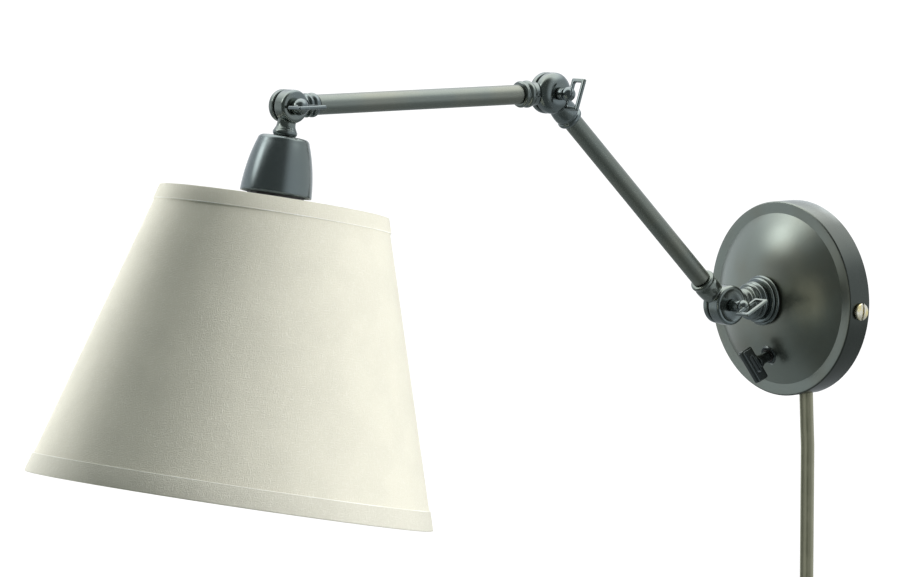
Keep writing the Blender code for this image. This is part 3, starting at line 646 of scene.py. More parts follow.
def linen(colours, sizes, name="linen_weave", depth=1.0):
    """Plain-woven linen with slubs, on the cloth's own map, which is in metres; a depth below 1 paints shade,
    darker and cooler.
    """
    made = bpy.data.materials.get(name)
    if made:
        return made
    made, tree, shader, where = started(name, Roughness=0.85, Sheen_Weight=0.25, Sheen_Roughness=0.5)
    # A depth below 1 darkens and cools the linen as painted shade.
    tint = [c * d for c, d in zip(colours.linen, (depth, depth**0.95, depth**0.8))]
    cloth = add(tree, "ShaderNodeUVMap", uv_map="cut").outputs["UV"]
    weave = use_group(tree, "plain_weave", cloth, Pitch=sizes.thread_pitch)
    slow = remap(tree, noise(tree, where, 45.0, 3.0), 0.35, 0.65)
    ground = mix_colour(tree, slow, rgba(tint), rgba(deeper(tint, 0.955)))
    gap = math_node(tree, "MULTIPLY", weave.outputs["Gap"], 0.55)
    colour = mix_colour(tree, gap, ground, rgba(colours.linen_shadow))
    slub = math_node(tree, "MULTIPLY", weave.outputs["Slub"], 0.4)
    colour = mix_colour(tree, slub, colour, rgba(colours.linen_slub))
    relief = {"Strength": 0.7, "Distance": 0.0002, "Height": weave.outputs["Height"]}
    dress(tree, shader, colour, normal=add(tree, "ShaderNodeBump", relief).outputs["Normal"])
    return made


def opal_glass(colours):
    made, tree, shader, where = started("opal_glass", Roughness=0.10, Coat_Weight=0.5, Coat_Roughness=0.05)
    cloud = remap(tree, noise(tree, where, 30.0, 2.0), 0.3, 0.7)
    dress(tree, shader, mix_colour(tree, cloud, rgba(colours.opal), rgba(deeper(colours.opal, 0.97))))
    return made


def cord_vinyl(colours):
    """Olive sleeve with painted shade in the web between the cores, where the second value of its map is 0."""
    made, tree, shader, where = started("cord_vinyl", Specular_IOR_Level=0.5)
    around = add(tree, "ShaderNodeUVMap", uv_map="cut").outputs["UV"]
    # Painted shade: darker towards the web between the cores.
    web = remap(tree, math_node(tree, "ABSOLUTE", axis_of(tree, around, "Y")), 0.0, 0.26, 1.0, 0.0)
    colour = mix_colour(tree, web, rgba(colours.cord), rgba(colours.cord_groove_shade))
    slow = remap(tree, noise(tree, where, 70.0, 2.0), 0.35, 0.65, 0.0, 0.35)
    colour = mix_colour(tree, slow, colour, rgba(deeper(colours.cord, 1.25)))
    rough = remap(tree, noise(tree, where, 500.0, 3.0), 0.3, 0.7, 0.34, 0.46, False)
    tooth = use_group(tree, "fine_grain", where, Scale=1100.0, Strength=0.15)
    dress(tree, shader, colour, rough, tooth.outputs["Normal"])
    return made


# ---------------------------------------------------------------- stage


class StageBuilder(bpy.types.Operator):
    """Makes the camera, the plain floor and the soft studio light"""

    bl_idname = "walllamp.stage"
    bl_label = "Stage"

    azimuth = math.radians(48.835)
    elevation = math.radians(5.774)
    distance = 2.7641
    side_step = -0.2167
    rise = 0.00513
    lens = 178.07
    floor_drop = 1.25
    floor_size = 120.0
    white_strength, even_strength = 1.1, 0.13
    spot_direction, spot_strength = (-0.59, -0.64, 0.50), 3.4
    ceiling_strength = 3.2
    dark_tone, pale_tone, even_tone = (0.17, 0.19, 0.19), (0.95, 1.0, 1.06), (0.95, 1.05, 0.92)

    def execute(self, context):
        a, e = self.azimuth, self.elevation
        back = Vector((math.sin(a) * math.cos(e), -math.cos(a) * math.cos(e), math.sin(e)))
        right = Vector((math.cos(a), math.sin(a), 0))
        up = back.cross(right)
        self.camera(context, back, right, up)
        self.floor(context)
        self.lights(back, right)
        self.world(context, back, right)
        return {"FINISHED"}

    def camera(self, context, back, right, up):
        deselect()
        bpy.ops.object.camera_add(location=back * self.distance + right * self.side_step + up * self.rise)
        camera = context.object
        camera.rotation_mode = "QUATERNION"
        camera.rotation_quaternion = (-back).to_track_quat("-Z", "Y")
        camera.data.lens = self.lens
        camera.data.sensor_width = 36
        camera.data.dof.use_dof = False
        camera.data.clip_end = 500
        context.scene.camera = camera

    def floor(self, context):
        deselect()
        bpy.ops.mesh.primitive_circle_add(
            vertices=96, radius=self.floor_size / 2, fill_type="NGON", location=(0, 0, -self.floor_drop)
        )
        ground = context.object
        ground.name = "studio_floor"
        material, tree, shader, _ = started("studio_floor", Roughness=1.0, Base_Color=(0.5, 0.52, 0.5, 1.0))
        glow = add(tree, "ShaderNodeEmission", {"Color": WHITE, "Strength": self.white_strength})
        seen = add(tree, "ShaderNodeLightPath").outputs["Is Camera Ray"]
        pale = mix_shader(tree, seen, shader.outputs[0], glow.outputs[0])
        below = add(tree, "ShaderNodeNewGeometry").outputs["Backfacing"]
        both = mix_shader(tree, below, pale, add(tree, "ShaderNodeBsdfTransparent").outputs[0])
        tree.links.new(both, tree.nodes["Material Output"].inputs["Surface"])
        ground.data.materials.append(material)
        ground.visible_glossy = False

    def soft_box(self, name, direction, distance, size, power, colour):
        """A soft box that looks at the lamp's middle; glossy pieces mirror the room and not the box."""
        deselect()
        middle = (cad_low + cad_high) / 2
        spot = middle + Vector(direction).normalized() * distance
        bpy.ops.object.light_add(type="AREA", location=spot)
        light = bpy.context.object
        light.name = name
        light.rotation_mode = "QUATERNION"
        light.rotation_quaternion = (spot - middle).to_track_quat("Z", "Y")
        light.visible_glossy = False
        light.data.shape = "RECTANGLE"
        light.data.size, light.data.size_y = size
        light.data.energy = power
        light.data.color = colour

    def lights(self, back, right):
        def towards(angle, height):
            turn = math.radians(angle)
            return back * math.cos(turn) + right * math.sin(turn) + Vector((0, 0, height))

        self.soft_box("key_light", towards(66, 0.12), 2.6, (1.6, 2.0), 76, (1.0, 0.985, 0.96))
        self.soft_box("top_light", Vector((0, 0, 1)), 2.4, (1.8, 1.8), 24, (0.98, 1.0, 0.96))
        self.soft_box("left_rim_light", towards(-128, 0.1), 2.6, (1.1, 2.0), 126, (1.0, 1.0, 0.97))

    def world(self, context, back, right):
        """A white room to the camera, an even one to matt surfaces, and soft panels to glossy ones."""
        world = bpy.data.worlds.new("studio")
        world.use_nodes = True
        world.cycles.sampling_method = "NONE"
        tree = world.node_tree
        tree.nodes.clear()
        direction = add(tree, "ShaderNodeTexCoord").outputs["Generated"]
        facing, side = [vector_node(tree, "DOT_PRODUCT", direction, tuple(axis)) for axis in (back, right)]
        height = axis_of(tree, direction, "Z")
        low = remap(tree, height, 0.05, 0.35, 0.30, 0.0)
        behind = remap(tree, math_node(tree, "SUBTRACT", facing, low), -0.35, 0.02, 1.0, 0.0)
        ring = math_node(tree, "MAXIMUM", behind, remap(tree, side, 0.25, 0.75))
        ring = math_node(tree, "MULTIPLY", ring, remap(tree, height, -0.45, -0.15, 0.3, 1.0))
        spot = tuple(Vector(self.spot_direction).normalized())
        spot = remap(tree, vector_node(tree, "DOT_PRODUCT", direction, spot), 0.962, 0.998)
        ceiling = remap(tree, height, 0.35, 0.8)
        ceiling = math_node(tree, "MULTIPLY", ceiling, remap(tree, facing, 0.1, 0.6, 1.0, 0.0))
        tone = mix_colour(tree, ring, rgba(self.dark_tone), rgba(self.pale_tone))
        tone = mix_colour(tree, math_node(tree, "MAXIMUM", ceiling, spot), tone, WHITE)
        strength = remap(tree, ceiling, 0.0, 1.0, 1.0, self.ceiling_strength, False)
        spot = math_node(tree, "MULTIPLY", spot, self.spot_strength)
        strength = math_node(tree, "ADD", strength, spot)
        room, even, white = [
            add(tree, "ShaderNodeBackground", {"Color": colour, "Strength": power}).outputs[0]
            for colour, power in (
                (tone, strength),
                (rgba(self.even_tone), self.even_strength),
                (WHITE, self.white_strength),
            )
        ]
        rays = add(tree, "ShaderNodeLightPath").outputs
        seen = mix_shader(tree, rays["Is Diffuse Ray"], room, even)
        seen = mix_shader(tree, rays["Is Camera Ray"], seen, white)
        out = add(tree, "ShaderNodeOutputWorld")
        tree.links.new(seen, out.inputs["Surface"])
        context.scene.world = world
        context.scene.view_settings.view_transform = "Standard"


# ---------------------------------------------------------------- mains lead


def smooth_step(t):
    t = max(0.0, min(1.0, t))
    return t * t * (3 - 2 * t)


class MainsLead(bpy.types.Operator):
    """Makes the flat two-core lead: its drop down the wall, its tied coil and its tail, and the coil's tie"""

    bl_idname = "walllamp.mains_lead"
    bl_label = "Mains lead"

    drop_heights = (-58.3, -75.0, -92.0, -110.0, -128.0, -146.0, -164.0, -180.3)
    wall_gap = -2.9
    bend_radius = 34.0
    bend_angle = 50.0
    back_layer, front_layer = -6.05, -15.25
    outer_turn, inner_turn = 55.8, 43.4
    first_angle, turns = 40.0, 5.1389
    turn_points = 36
    tail_heights = (-258.0, -268.0, -278.0, -288.0, -296.9)
    tail_depth = -10.6
    lean_run = 36.0
    bend_points = 8
    hop_turns = 0.3
    tie_slack, tie_width = (1.0, 0.8), 8.0

    def route(self, sizes):
        """(place, which way the flat side's width runs) at each point of the lead, in millimetres."""
        middle = (COIL_BOX[0] + COIL_BOX[1]) / 2 / MM
        start = (CORD_TOP.x / MM - sizes.cord_width / MM / 2, CORD_TOP.y / MM - sizes.cord_width / MM / 2)
        across, out = Vector((0.658, 0.753, 0)), Vector((0, 1, 0))
        route = []
        for z in self.drop_heights:
            lean = smooth_step((self.drop_heights[0] - z) / self.lean_run)
            y = start[1] + (self.wall_gap - start[1]) * lean
            route.append((Vector((start[0], y, z)), across))
        bend_top = self.drop_heights[-1]
        for i in range(1, self.bend_points + 1):
            share = i / self.bend_points
            angle = math.radians(self.bend_angle * share)
            x = start[0] + self.bend_radius * (1 - math.cos(angle))
            y = self.wall_gap + (self.back_layer - self.wall_gap) * smooth_step(share)
            spot = Vector((x, y, bend_top - self.bend_radius * math.sin(angle)))
            route.append((spot, across.lerp(out, smooth_step(share)).normalized()))
        count = round(self.turns * self.turn_points)
        for i in range(1, count + 1):
            share = i / count
            angle = math.radians(self.first_angle + 360 * self.turns * share)
            inward = 1 - abs(2 * share - 1)
            radius = self.outer_turn + (self.inner_turn - self.outer_turn) * inward
            hop = smooth_step((share - 0.5) * self.turns / self.hop_turns + 0.5)
            y = self.back_layer + (self.front_layer - self.back_layer) * hop
            spot = Vector((middle.x + radius * math.sin(angle), y, middle.z + radius * math.cos(angle)))
            route.append((spot, out))
        leave = route[-1][0].copy()
        for z in self.tail_heights:
            sink = smooth_step((leave.z - z) / (leave.z - self.tail_heights[-1]))
            y = leave.y + (self.tail_depth - leave.y) * sink
            turn = across.lerp(out, 1 - sink).normalized()
            route.append((Vector((leave.x, y, z)), turn))
        return route

    def section(self, sizes, count=28):
        """The flat lead's outline: two round cores side by side, with a web between them."""
        half, core = sizes.cord_width / MM / 2, sizes.cord_thickness / MM / 2
        points = []
        for i in range(count):
            angle = math.tau * i / count
            wide = (half - core) * math.tanh(2.6 * math.cos(angle)) / math.tanh(2.6) + core * math.cos(angle)
            waist = 1 - 0.30 * math.exp(-((wide / (core * 0.42)) ** 2))
            points.append((wide, core * math.sin(angle) * waist))
        return points

    def execute(self, context):
        sizes, colours = context.scene.lamp_sizes, context.scene.lamp_colours
        route = self.route(sizes)
        outline = self.section(sizes)
        mesh = bmesh.new()
        cut_map = mesh.loops.layers.uv.new("cut")
        rings, runs, run = [], [], 0.0
        for i, (spot, width) in enumerate(route):
            before, after = route[max(0, i - 1)][0], route[min(len(route) - 1, i + 1)][0]
            heading = (after - before).normalized()
            width = (width - heading * width.dot(heading)).normalized()
            thick = heading.cross(width)
            rings.append([mesh.verts.new((spot + width * u + thick * v) * MM) for u, v in outline])
            run += (spot - before).length * MM if i else 0.0
            runs.append(run)
        half = sizes.cord_width / MM / 2
        for i, (ring, later) in enumerate(zip(rings, rings[1:])):
            for k in range(len(outline)):
                n = (k + 1) % len(outline)
                face = mesh.faces.new((ring[k], ring[n], later[n], later[k]))
                face.smooth = True
                corners = ((i, k), (i, n), (i + 1, n), (i + 1, k))
                for loop, (row, column) in zip(face.loops, corners):
                    loop[cut_map].uv = (runs[row], outline[column][0] / half)
        mesh.faces.new(rings[0])
        mesh.faces.new(rings[-1][::-1])
        bmesh.ops.recalc_face_normals(mesh, faces=mesh.faces)
        data = bpy.data.meshes.new("mains_cord")
        mesh.to_mesh(data)
        mesh.free()
        lead = bpy.data.objects.new("mains_cord", data)
        context.scene.collection.objects.link(lead)
        nodes = ["power_cord", "cord_coil", "cord_tail"]
        keep(lead, "mains_cord", "wall_mount", cord_vinyl(colours), nodes, 40)
        tie = self.tie(sizes, colours)
        plug, blades = make_plug(colours)
        return {"FINISHED"}

    def tie(self, sizes, colours):
        """A soft strap round the coil's turns, with its free end lapped over."""
        middle = (COIL_BOX[0] + COIL_BOX[1]) / 2
        across = self.outer_turn - self.inner_turn + sizes.cord_thickness / MM + self.tie_slack[0]
        deep = self.back_layer - self.front_layer + sizes.cord_width / MM + self.tie_slack[1]
        strap = block((across, deep, self.tie_width))
        edit_faces(strap, lambda face: abs(face.normal.z) > 0.5)
        bpy.ops.mesh.delete(type="ONLY_FACE")
        bpy.ops.object.mode_set(mode="OBJECT")
        ease(strap, 2.6, 6)
        modify(strap, "SOLIDIFY", thickness=0.9 * MM, offset=1.0)
        ease(strap, 0.3, 2, 50)
        lap = block((7.0, 0.9, 7.0), (across / 2 - 5.0, -deep / 2 - 1.4, 0))
        ease(lap, 0.4, 3)
        joined(strap, lap)
        turn = Matrix.Rotation(math.radians(-40), 4, "Y")
        reach = Matrix.Translation(Vector(((self.outer_turn + self.inner_turn) / 2 * MM, 0, 0)))
        place(strap, Matrix.Translation(middle) @ turn @ reach)
        material = moulded("woven_tie", colours.black, 0.8, 1400.0, 0.5)
        return keep(strap, "cord_strap", "wall_mount", material, ["cord_tie"], 40)


def make_plug(colours):
    """The moulded plug with a grip on each side and a ribbed sleeve, and its two blades."""
    low, high = PLUG_BOX[0] / MM, PLUG_BOX[1] / MM
    middle, top, bottom = (low + high) / 2, high.z, low.z
    sleeve_length = 13.0
    width, depth = (high.x - low.x) * 0.98, (high.y - low.y) * 0.98
    body = block((width, depth, top - bottom - sleeve_length), (0, 0, (bottom - top - sleeve_length) / 2))
    edit_faces(body, lambda face: face.normal.z > 0.5)
    bpy.ops.transform.resize(value=(0.66, 0.68, 1.0))
    bpy.ops.mesh.select_all(action="SELECT")
    bpy.ops.mesh.bevel(offset=3.2 * MM, segments=8, profile=0.6, affect="EDGES")
    bpy.ops.object.mode_set(mode="OBJECT")
    grips = []
    for side in (-1, 1):
        for i in range(4):
            groove = rod(0.9, -6, 6, 24)
            height = bottom - top + 7.0 + 3.1 * i
            spot = Vector((side * (width / 2 * (0.985 - 0.10 * i / 3)), 0, height)) * MM
            grips.append(place(groove, Matrix.Translation(spot) @ Matrix.Rotation(math.pi / 2, 4, "X")))
    cut(body, *grips)
    outline = [(0, -sleeve_length - 3)]
    for i in range(5):
        height = -sleeve_length - 1.2 + 2.9 * i
        radius = 6.6 - 0.35 * i
        outline += [(radius, height), (radius, height + 1.7)]
        outline += [(radius - 1.0, height + 2.0), (radius - 1.0, height + 2.7)]
    outline += [(5.2, -0.4), (4.9, -0.05), (0, -0.05)]
    sleeve = turned(outline, 64)
    unite(body, sleeve)
    ease(body, 0.25, 2, 40)
    place(body, Matrix.Translation(Vector((middle.x, middle.y, top)) * MM))
    vinyl = moulded("plug_vinyl", colours.cord, 0.45, 1000.0, 0.2)
    keep(body, "plug_moulding", "wall_mount", vinyl, ["plug_body"], 35)
    blades = []
    for side in ("right", "left"):
        node = "plug_blade_" + side
        lo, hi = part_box(node)
        size, centre = (hi - lo) / MM, (hi + lo) / 2 / MM
        blade = block(size, centre)
        ease(blade, 0.45, 3)
        hole = place(rod(1.6, -4, 4, 32), Matrix.Translation(centre * MM - Vector((0, 0, 4.5 * MM))) @ ON_X)
        cut(blade, hole)
        blades.append(keep(blade, "plug_pin_" + side, "wall_mount", bright_brass(colours), [node]))
    return body, blades


# ---------------------------------------------------------------- wall plate


class WallPlate(bpy.types.Operator):
    """Makes the spun wall plate, its two slotted side screws and the hub rings that stand on it"""

    bl_idname = "walllamp.wall_plate"
    bl_label = "Wall plate"

    depth = 17.0
    wall = 1.2
    foot = 53.0
    bore = 6.2
    screw_bore, screw_seat, seat_depth = 2.5, 5.75, 0.45
    switch_hole = 4.6
    cord_notch = (10.3, 19.2, 8.0)

    def dome(self, inset, count=30):
        height, foot = DOME_HEIGHT - inset, self.depth - inset
        return sweep((self.foot, foot), (46, foot + 4.4), (34, height - 1.6), (self.bore, height), count)

    def shell(self, sizes):
        rim, edge = PLATE_RADIUS, sizes.rim_round / MM
        outside = [(rim - 0.4, 0), (rim, 0.4), (rim, 8)]
        outside += arc((rim - edge, self.depth - edge), edge, 0, 90, 9) + [(56, self.depth)] + self.dome(0)
        inner = rim - self.wall
        inside = self.dome(self.wall)[::-1] + [(56, self.depth - self.wall)]
        inside += arc((inner - 0.6, self.depth - self.wall - 0.6), 0.6, 90, 0, 5) + [(inner, 8), (inner, 0)]
        return turned(outside + inside, 160)

    def execute(self, context):
        sizes, colours = context.scene.lamp_sizes, context.scene.lamp_colours
        plate = place(self.shell(sizes), OUT_OF_WALL)
        lo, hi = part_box("side_screw_right")
        screw_place = Vector((0, (lo.y + hi.y) / 2, (lo.z + hi.z) / 2))
        at_screws = Matrix.Translation(screw_place) @ ON_X
        bore = place(rod(self.screw_bore, -70, 70, 32), at_screws)
        floor, clear = PLATE_RADIUS - self.seat_depth, PLATE_RADIUS + 6
        seats = []
        for low, high in ((floor, clear), (-clear, -floor)):
            seats.append(place(rod(self.screw_seat, low, high, 48), at_screws))
        cord_middle = CORD_TOP.x - sizes.cord_width / 2
        notch = block(self.cord_notch, Vector((cord_middle, 0, -PLATE_RADIUS * MM)) / MM)
        hole = place(rod(self.switch_hole, -12, 12, 48), SWITCH)
        cut(plate, bore, *seats, notch, hole)
        keep(plate, "spun_plate", "wall_mount", gunmetal(colours, "plate"), ["wall_plate"], 25)
        self.screws(colours)
        self.hub(colours)
        return {"FINISHED"}

    def screws(self, colours):
        """Slotted cheese-head screws with a domed face."""
        for name, side, turn in (("right", 1, 0.0), ("left", -1, math.pi)):
            lo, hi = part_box("side_screw_" + name)
            reach = side * (PLATE_RADIUS + self.seat_depth) * MM
            spot = Vector((reach, (lo.y + hi.y) / 2, (lo.z + hi.z) / 2))
            crown = arc((0, -11.6), 14.2, 90, 70, 8)
            edge = arc((4.7, 1.15), 0.5, 60, 0, 5)
            head = turned_on_x(crown + edge + [(5.2, 0.0), (1.9, 0.0), (1.9, -9.5), (0, -9.5)], 72)
            slot = block((2.8, 1.6, 12), (2.3, 0, 0))
            tilt = Matrix.Rotation(math.radians(-7), 4, "X")
            cut(head, place(slot, tilt))
            ease(head, 0.12, 2, 50)
            place(head, Matrix.Translation(spot) @ Matrix.Rotation(turn, 4, "Z"))
            finish = plated("worn_nickel", colours.nickel, colours.nickel_warm)
            keep(head, "slotted_screw_" + name, "wall_mount", finish, ["side_screw_" + name])

    def hub(self, colours):
        low, high = [-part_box("hub_base")[k].y / MM for k in (1, 0)]
        rings = [(14.6, low)] + bead(14.4, 15.5, low + 0.1, low + 2.5) + bead(12.9, 14.2, low + 2.7, high)
        hub = place(turned([(6.4, low)] + rings + [(6.4, high)], 128), OUT_OF_WALL)
        keep(hub, "hub_rings", "wall_mount", gunmetal(colours, "cast"), ["hub_base"], 40)


# ---------------------------------------------------------------- knuckles

# Half the room between two cheeks, their screw hole, where the head's cheeks part along the joint's axis,
# and how far from a joint the tube shows past a ringed casting and past the slim end.
CHEEK_GAP = 0.7
SCREW_HOLE = 2.4
HEAD_PART = -2.6
TUBE_START = 24.3
SLIM_END = 18.7


def bun_cheek(radius, face, part=0.0):
    """A round cheek on +X that swells into a bun; the two cheeks part near the plane x = part."""
    bun = sweep((radius, 4.2), (radius, 6.9), (radius * 0.72, face), (radius * 0.42, face), 18)
    low = part + CHEEK_GAP
    edge = [(SCREW_HOLE, low), (radius - 0.6, low)] + arc((radius - 0.6, low + 0.6), 0.6, -60, 0, 5)
    return turned_on_x(edge + bun + [(SCREW_HOLE, face)])


def dished_cheek(radius, face):
    """A round cheek on +X with a bevelled rim round a dished face."""
    rim = [(radius - 0.6, CHEEK_GAP)] + arc((radius - 0.6, CHEEK_GAP + 0.6), 0.6, -60, 0, 5)
    rim += [(radius, face - 1.4)] + arc((radius - 1.3, face - 1.1), 1.1, 20, 90, 6)
    floor = face - 0.6
    lip, pulls = (radius - 2.5, face - 0.05), ((radius - 2.9, face - 0.4), (radius - 3.4, floor))
    dish = [(radius - 2.3, face)] + sweep(lip, *pulls, (5.0, floor), 8)
    return turned_on_x([(SCREW_HOLE, CHEEK_GAP)] + rim + dish + [(SCREW_HOLE, floor)])


def far_cheek(radius, depth, part=0.0):
    """A shallow domed cheek on -X, with a blind hole for the clamp screw."""
    low = part - CHEEK_GAP
    rim = [(SCREW_HOLE, low), (radius - 0.6, low)] + arc((radius - 0.6, low - 0.6), 0.6, 60, 0, 5)
    brow = (radius, low - depth * 0.35)
    crown = sweep(brow, (radius, part - depth * 0.85), (radius * 0.7, part - depth), (0, part - depth), 16)
    blind = [(0, part + 1.5 - depth), (SCREW_HOLE, part + 1.5 - depth)]
    return turned_on_x((rim + crown + blind)[::-1])


def casting(cheek, neck_outline, side, mate_radius, sizes, part=0.0):
    """A cheek with the neck that leaves it along +Z, and room for the cheek that it is clamped to."""
    neck = turned(neck_outline)
    near, far = sorted((part + CHEEK_GAP * side, -20.0 * side))
    room = place(rod(mate_radius + 0.5, near, far, 96), ON_X)
    cut(neck, room)
    unite(neck, cheek)
    return skin(neck, sizes)


def arm_neck():
    """From inside the cheek to the spigot in the tube, with two turned rings and a groove between them."""
    throat = [(0, 5.2), (6.9, 5.2), (6.9, 15.2)]
    rings = bead(6.9, 8.05, 16.0, 19.6) + [(6.5, 20.2), (6.5, 20.9)] + bead(6.5, 7.85, 21.1, 23.9)
    return throat + rings + [(4.7, 24.1), (4.7, 34), (0, 34)]


def smooth_neck():
    """A thick smooth throat that ends in one ring beside the tube."""
    throat = [(0, 5.2), (6.9, 5.2)] + sweep((6.9, 9.0), (7.0, 12.0), (7.7, 14.0), (7.6, 18.6), 10)
    ring = [(7.1, 20.0), (6.9, 20.5)] + bead(6.9, 7.9, 20.8, 23.9)
    return throat + ring + [(4.7, 24.1), (4.7, 34), (0, 34)]


def slim_neck():
    throat = [(0, 4.0), (5.4, 4.0), (5.4, 10.2)]
    rings = bead(5.6, 6.95, 10.8, 13.4) + [(5.5, 13.8), (5.5, 14.2)] + bead(5.8, 7.0, 14.4, 18.2)
    return throat + rings + [(4.7, 18.5), (4.7, 28), (0, 28)]


def hub_neck():
    """The swivel's neck, which widens through turned rings to the rings on the wall plate."""
    top = abs(WALL_JOINT.y / MM) - abs(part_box("hub_base")[0].y / MM) - 0.3
    shank = [(0, 5.2), (6.5, 5.2), (6.5, 14.8)] + bead(6.6, 7.6, 15.0, 16.8)
    shank += [(7.0, 17.2), (8.3, 18.8), (8.5, 22.0)]
    rings = bead(9.4, 11.4, 22.5, 25.2) + [(10.2, 25.5)] + bead(10.4, 12.2, 25.7, 28.8)
    return shank + rings + [(11.0, 29.1), (11.0, top), (5.8, top), (5.8, 22.8), (0, 22.8)]


def head_neck():
    low = [(0, 4.0), (5.4, 4.0), (5.4, 8.6)] + sweep((5.3, 9.0), (5.2, 11.5), (5.6, 12.0), (6.4, 13.4), 8)
    flare = bead(6.3, 7.0, 13.8, 16.4, 9)
    return low + flare + [(6.2, 16.9), (4.8, 17.1), (4.8, 23.2), (0, 23.2)]


def keep_casting(shape, matrix, name, body, node, colours):
    """Puts a casting in its place, with the castings' own finish."""
    return keep(place(shape, matrix), name, body, gunmetal(colours, "cast"), [node], 60)


def keep_tube(start, end, matrix, name, body, node, colours):
    """A drawn tube with eased ends, in its place on an arm."""
    outer, inner, eased = 5.75, 4.9, 0.25
    outside = [(outer - eased, start), (outer, start + eased), (outer, end - eased), (outer - eased, end)]
    tube = place(turned(outside + [(inner, end), (inner, start)], 96), matrix)
    return keep(tube, name, body, gunmetal(colours, "tube"), [node])


def notched(nut, count, reach, radius, low, high):
    """Cuts a ring of round notches into a nut's rim."""
    notches = []
    for i in range(count):
        spot = Matrix.Rotation(math.tau * i / count, 4, "Z") @ Matrix.Translation((reach * MM, 0, 0))
        notches.append(place(rod(radius, low, high, 12), spot))
    return cut(nut, joined(*notches))


class Swivel(bpy.types.Operator):
    """Makes the swivel's ringed neck with the far cheek of the wall joint"""

    bl_idname = "walllamp.swivel"
    bl_label = "Swivel"

    def execute(self, context):
        sizes, colours = context.scene.lamp_sizes, context.scene.lamp_colours
        shape = casting(far_cheek(11.8, 6.8), hub_neck(), -1, 12.2, sizes)
        keep_casting(shape, SWIVEL, "swivel_neck", "swivel", "swivel_hub", colours)
        return {"FINISHED"}


class Switch(bpy.types.Operator):
    """Makes the rotary switch's ring nut and its key"""

    bl_idname = "walllamp.switch"
    bl_label = "Switch"

    key_turn = 113.0

    def execute(self, context):
        sizes, colours = context.scene.lamp_sizes, context.scene.lamp_colours
        ring = [(4.3, 0.9), (6.0, 0.9)] + arc((5.7, 1.7), 0.5, 0, 60, 4) + [(5.4, 2.9), (4.3, 2.9)]
        nut = notched(turned(ring, 72), 24, 6.15, 0.35, 0, 6)
        dark = gunmetal(colours, "switch")
        keep(place(nut, SWITCH), "switch_collar", "wall_mount", dark, ["switch_ring_nut"])
        waist = sweep((3.4, 4.4), (3.2, 8.0), (3.2, 9.4), (4.2, 11.0), 10)
        key = turned([(0, 3.8), (3.5, 3.8)] + waist + [(4.3, 13.2), (0, 13.2)], 72)
        bow = block((22.0, 4.6, 9.4), (0, 0, 16.6))
        ease(bow, 1.4, 6)
        window = block((11.5, 8, 2.6), (0, 0, 16.6))
        ease(window, 1.2, 6)
        cut(bow, window)
        unite(key, bow)
        skin(key, sizes, 3)
        place(key, SWITCH @ Matrix.Rotation(math.radians(self.key_turn), 4, "Z"))
        keep(key, "switch_bow", "switch_knob", dark, ["switch_key"], 60)
        return {"FINISHED"}


class LowerArm(bpy.types.Operator):
    """Makes the lower arm: its dished foot, its drawn tube and its bun-shaped elbow"""

    bl_idname = "walllamp.lower_arm"
    bl_label = "Lower arm"

    def execute(self, context):
        sizes, colours = context.scene.lamp_sizes, context.scene.lamp_colours
        foot = casting(dished_cheek(12.2, 9.5), smooth_neck(), 1, 12.2, sizes)
        keep_casting(foot, LOWER_ARM, "foot_casting", "lower_arm", "lower_arm_foot", colours)
        elbow = casting(bun_cheek(12.2, 9.5), smooth_neck(), 1, 12.2, sizes)
        keep_casting(elbow, LOWER_ARM_BACK, "elbow_casting", "lower_arm", "lower_arm_elbow", colours)
        end = ARM_LENGTH - TUBE_START
        keep_tube(TUBE_START, end, LOWER_ARM, "lower_tube", "lower_arm", "lower_arm_tube", colours)
        return {"FINISHED"}


class UpperArm(bpy.types.Operator):
    """Makes the upper arm: its elbow cheek, its drawn tube and its slim end at the head"""

    bl_idname = "walllamp.upper_arm"
    bl_label = "Upper arm"

    def execute(self, context):
        sizes, colours = context.scene.lamp_sizes, context.scene.lamp_colours
        elbow = casting(far_cheek(12.2, 6.8), arm_neck(), -1, 12.2, sizes)
        keep_casting(elbow, UPPER_ARM, "arm_cheek_casting", "upper_arm", "upper_arm_elbow", colours)
        end = casting(far_cheek(9.4, 6.6, HEAD_PART), slim_neck(), -1, 9.4, sizes, HEAD_PART)
        keep_casting(end, UPPER_ARM_BACK, "arm_end_casting", "upper_arm", "upper_arm_end", colours)
        end = ARM_LENGTH - SLIM_END
        keep_tube(TUBE_START, end, UPPER_ARM, "upper_tube", "upper_arm", "upper_arm_tube", colours)
        return {"FINISHED"}


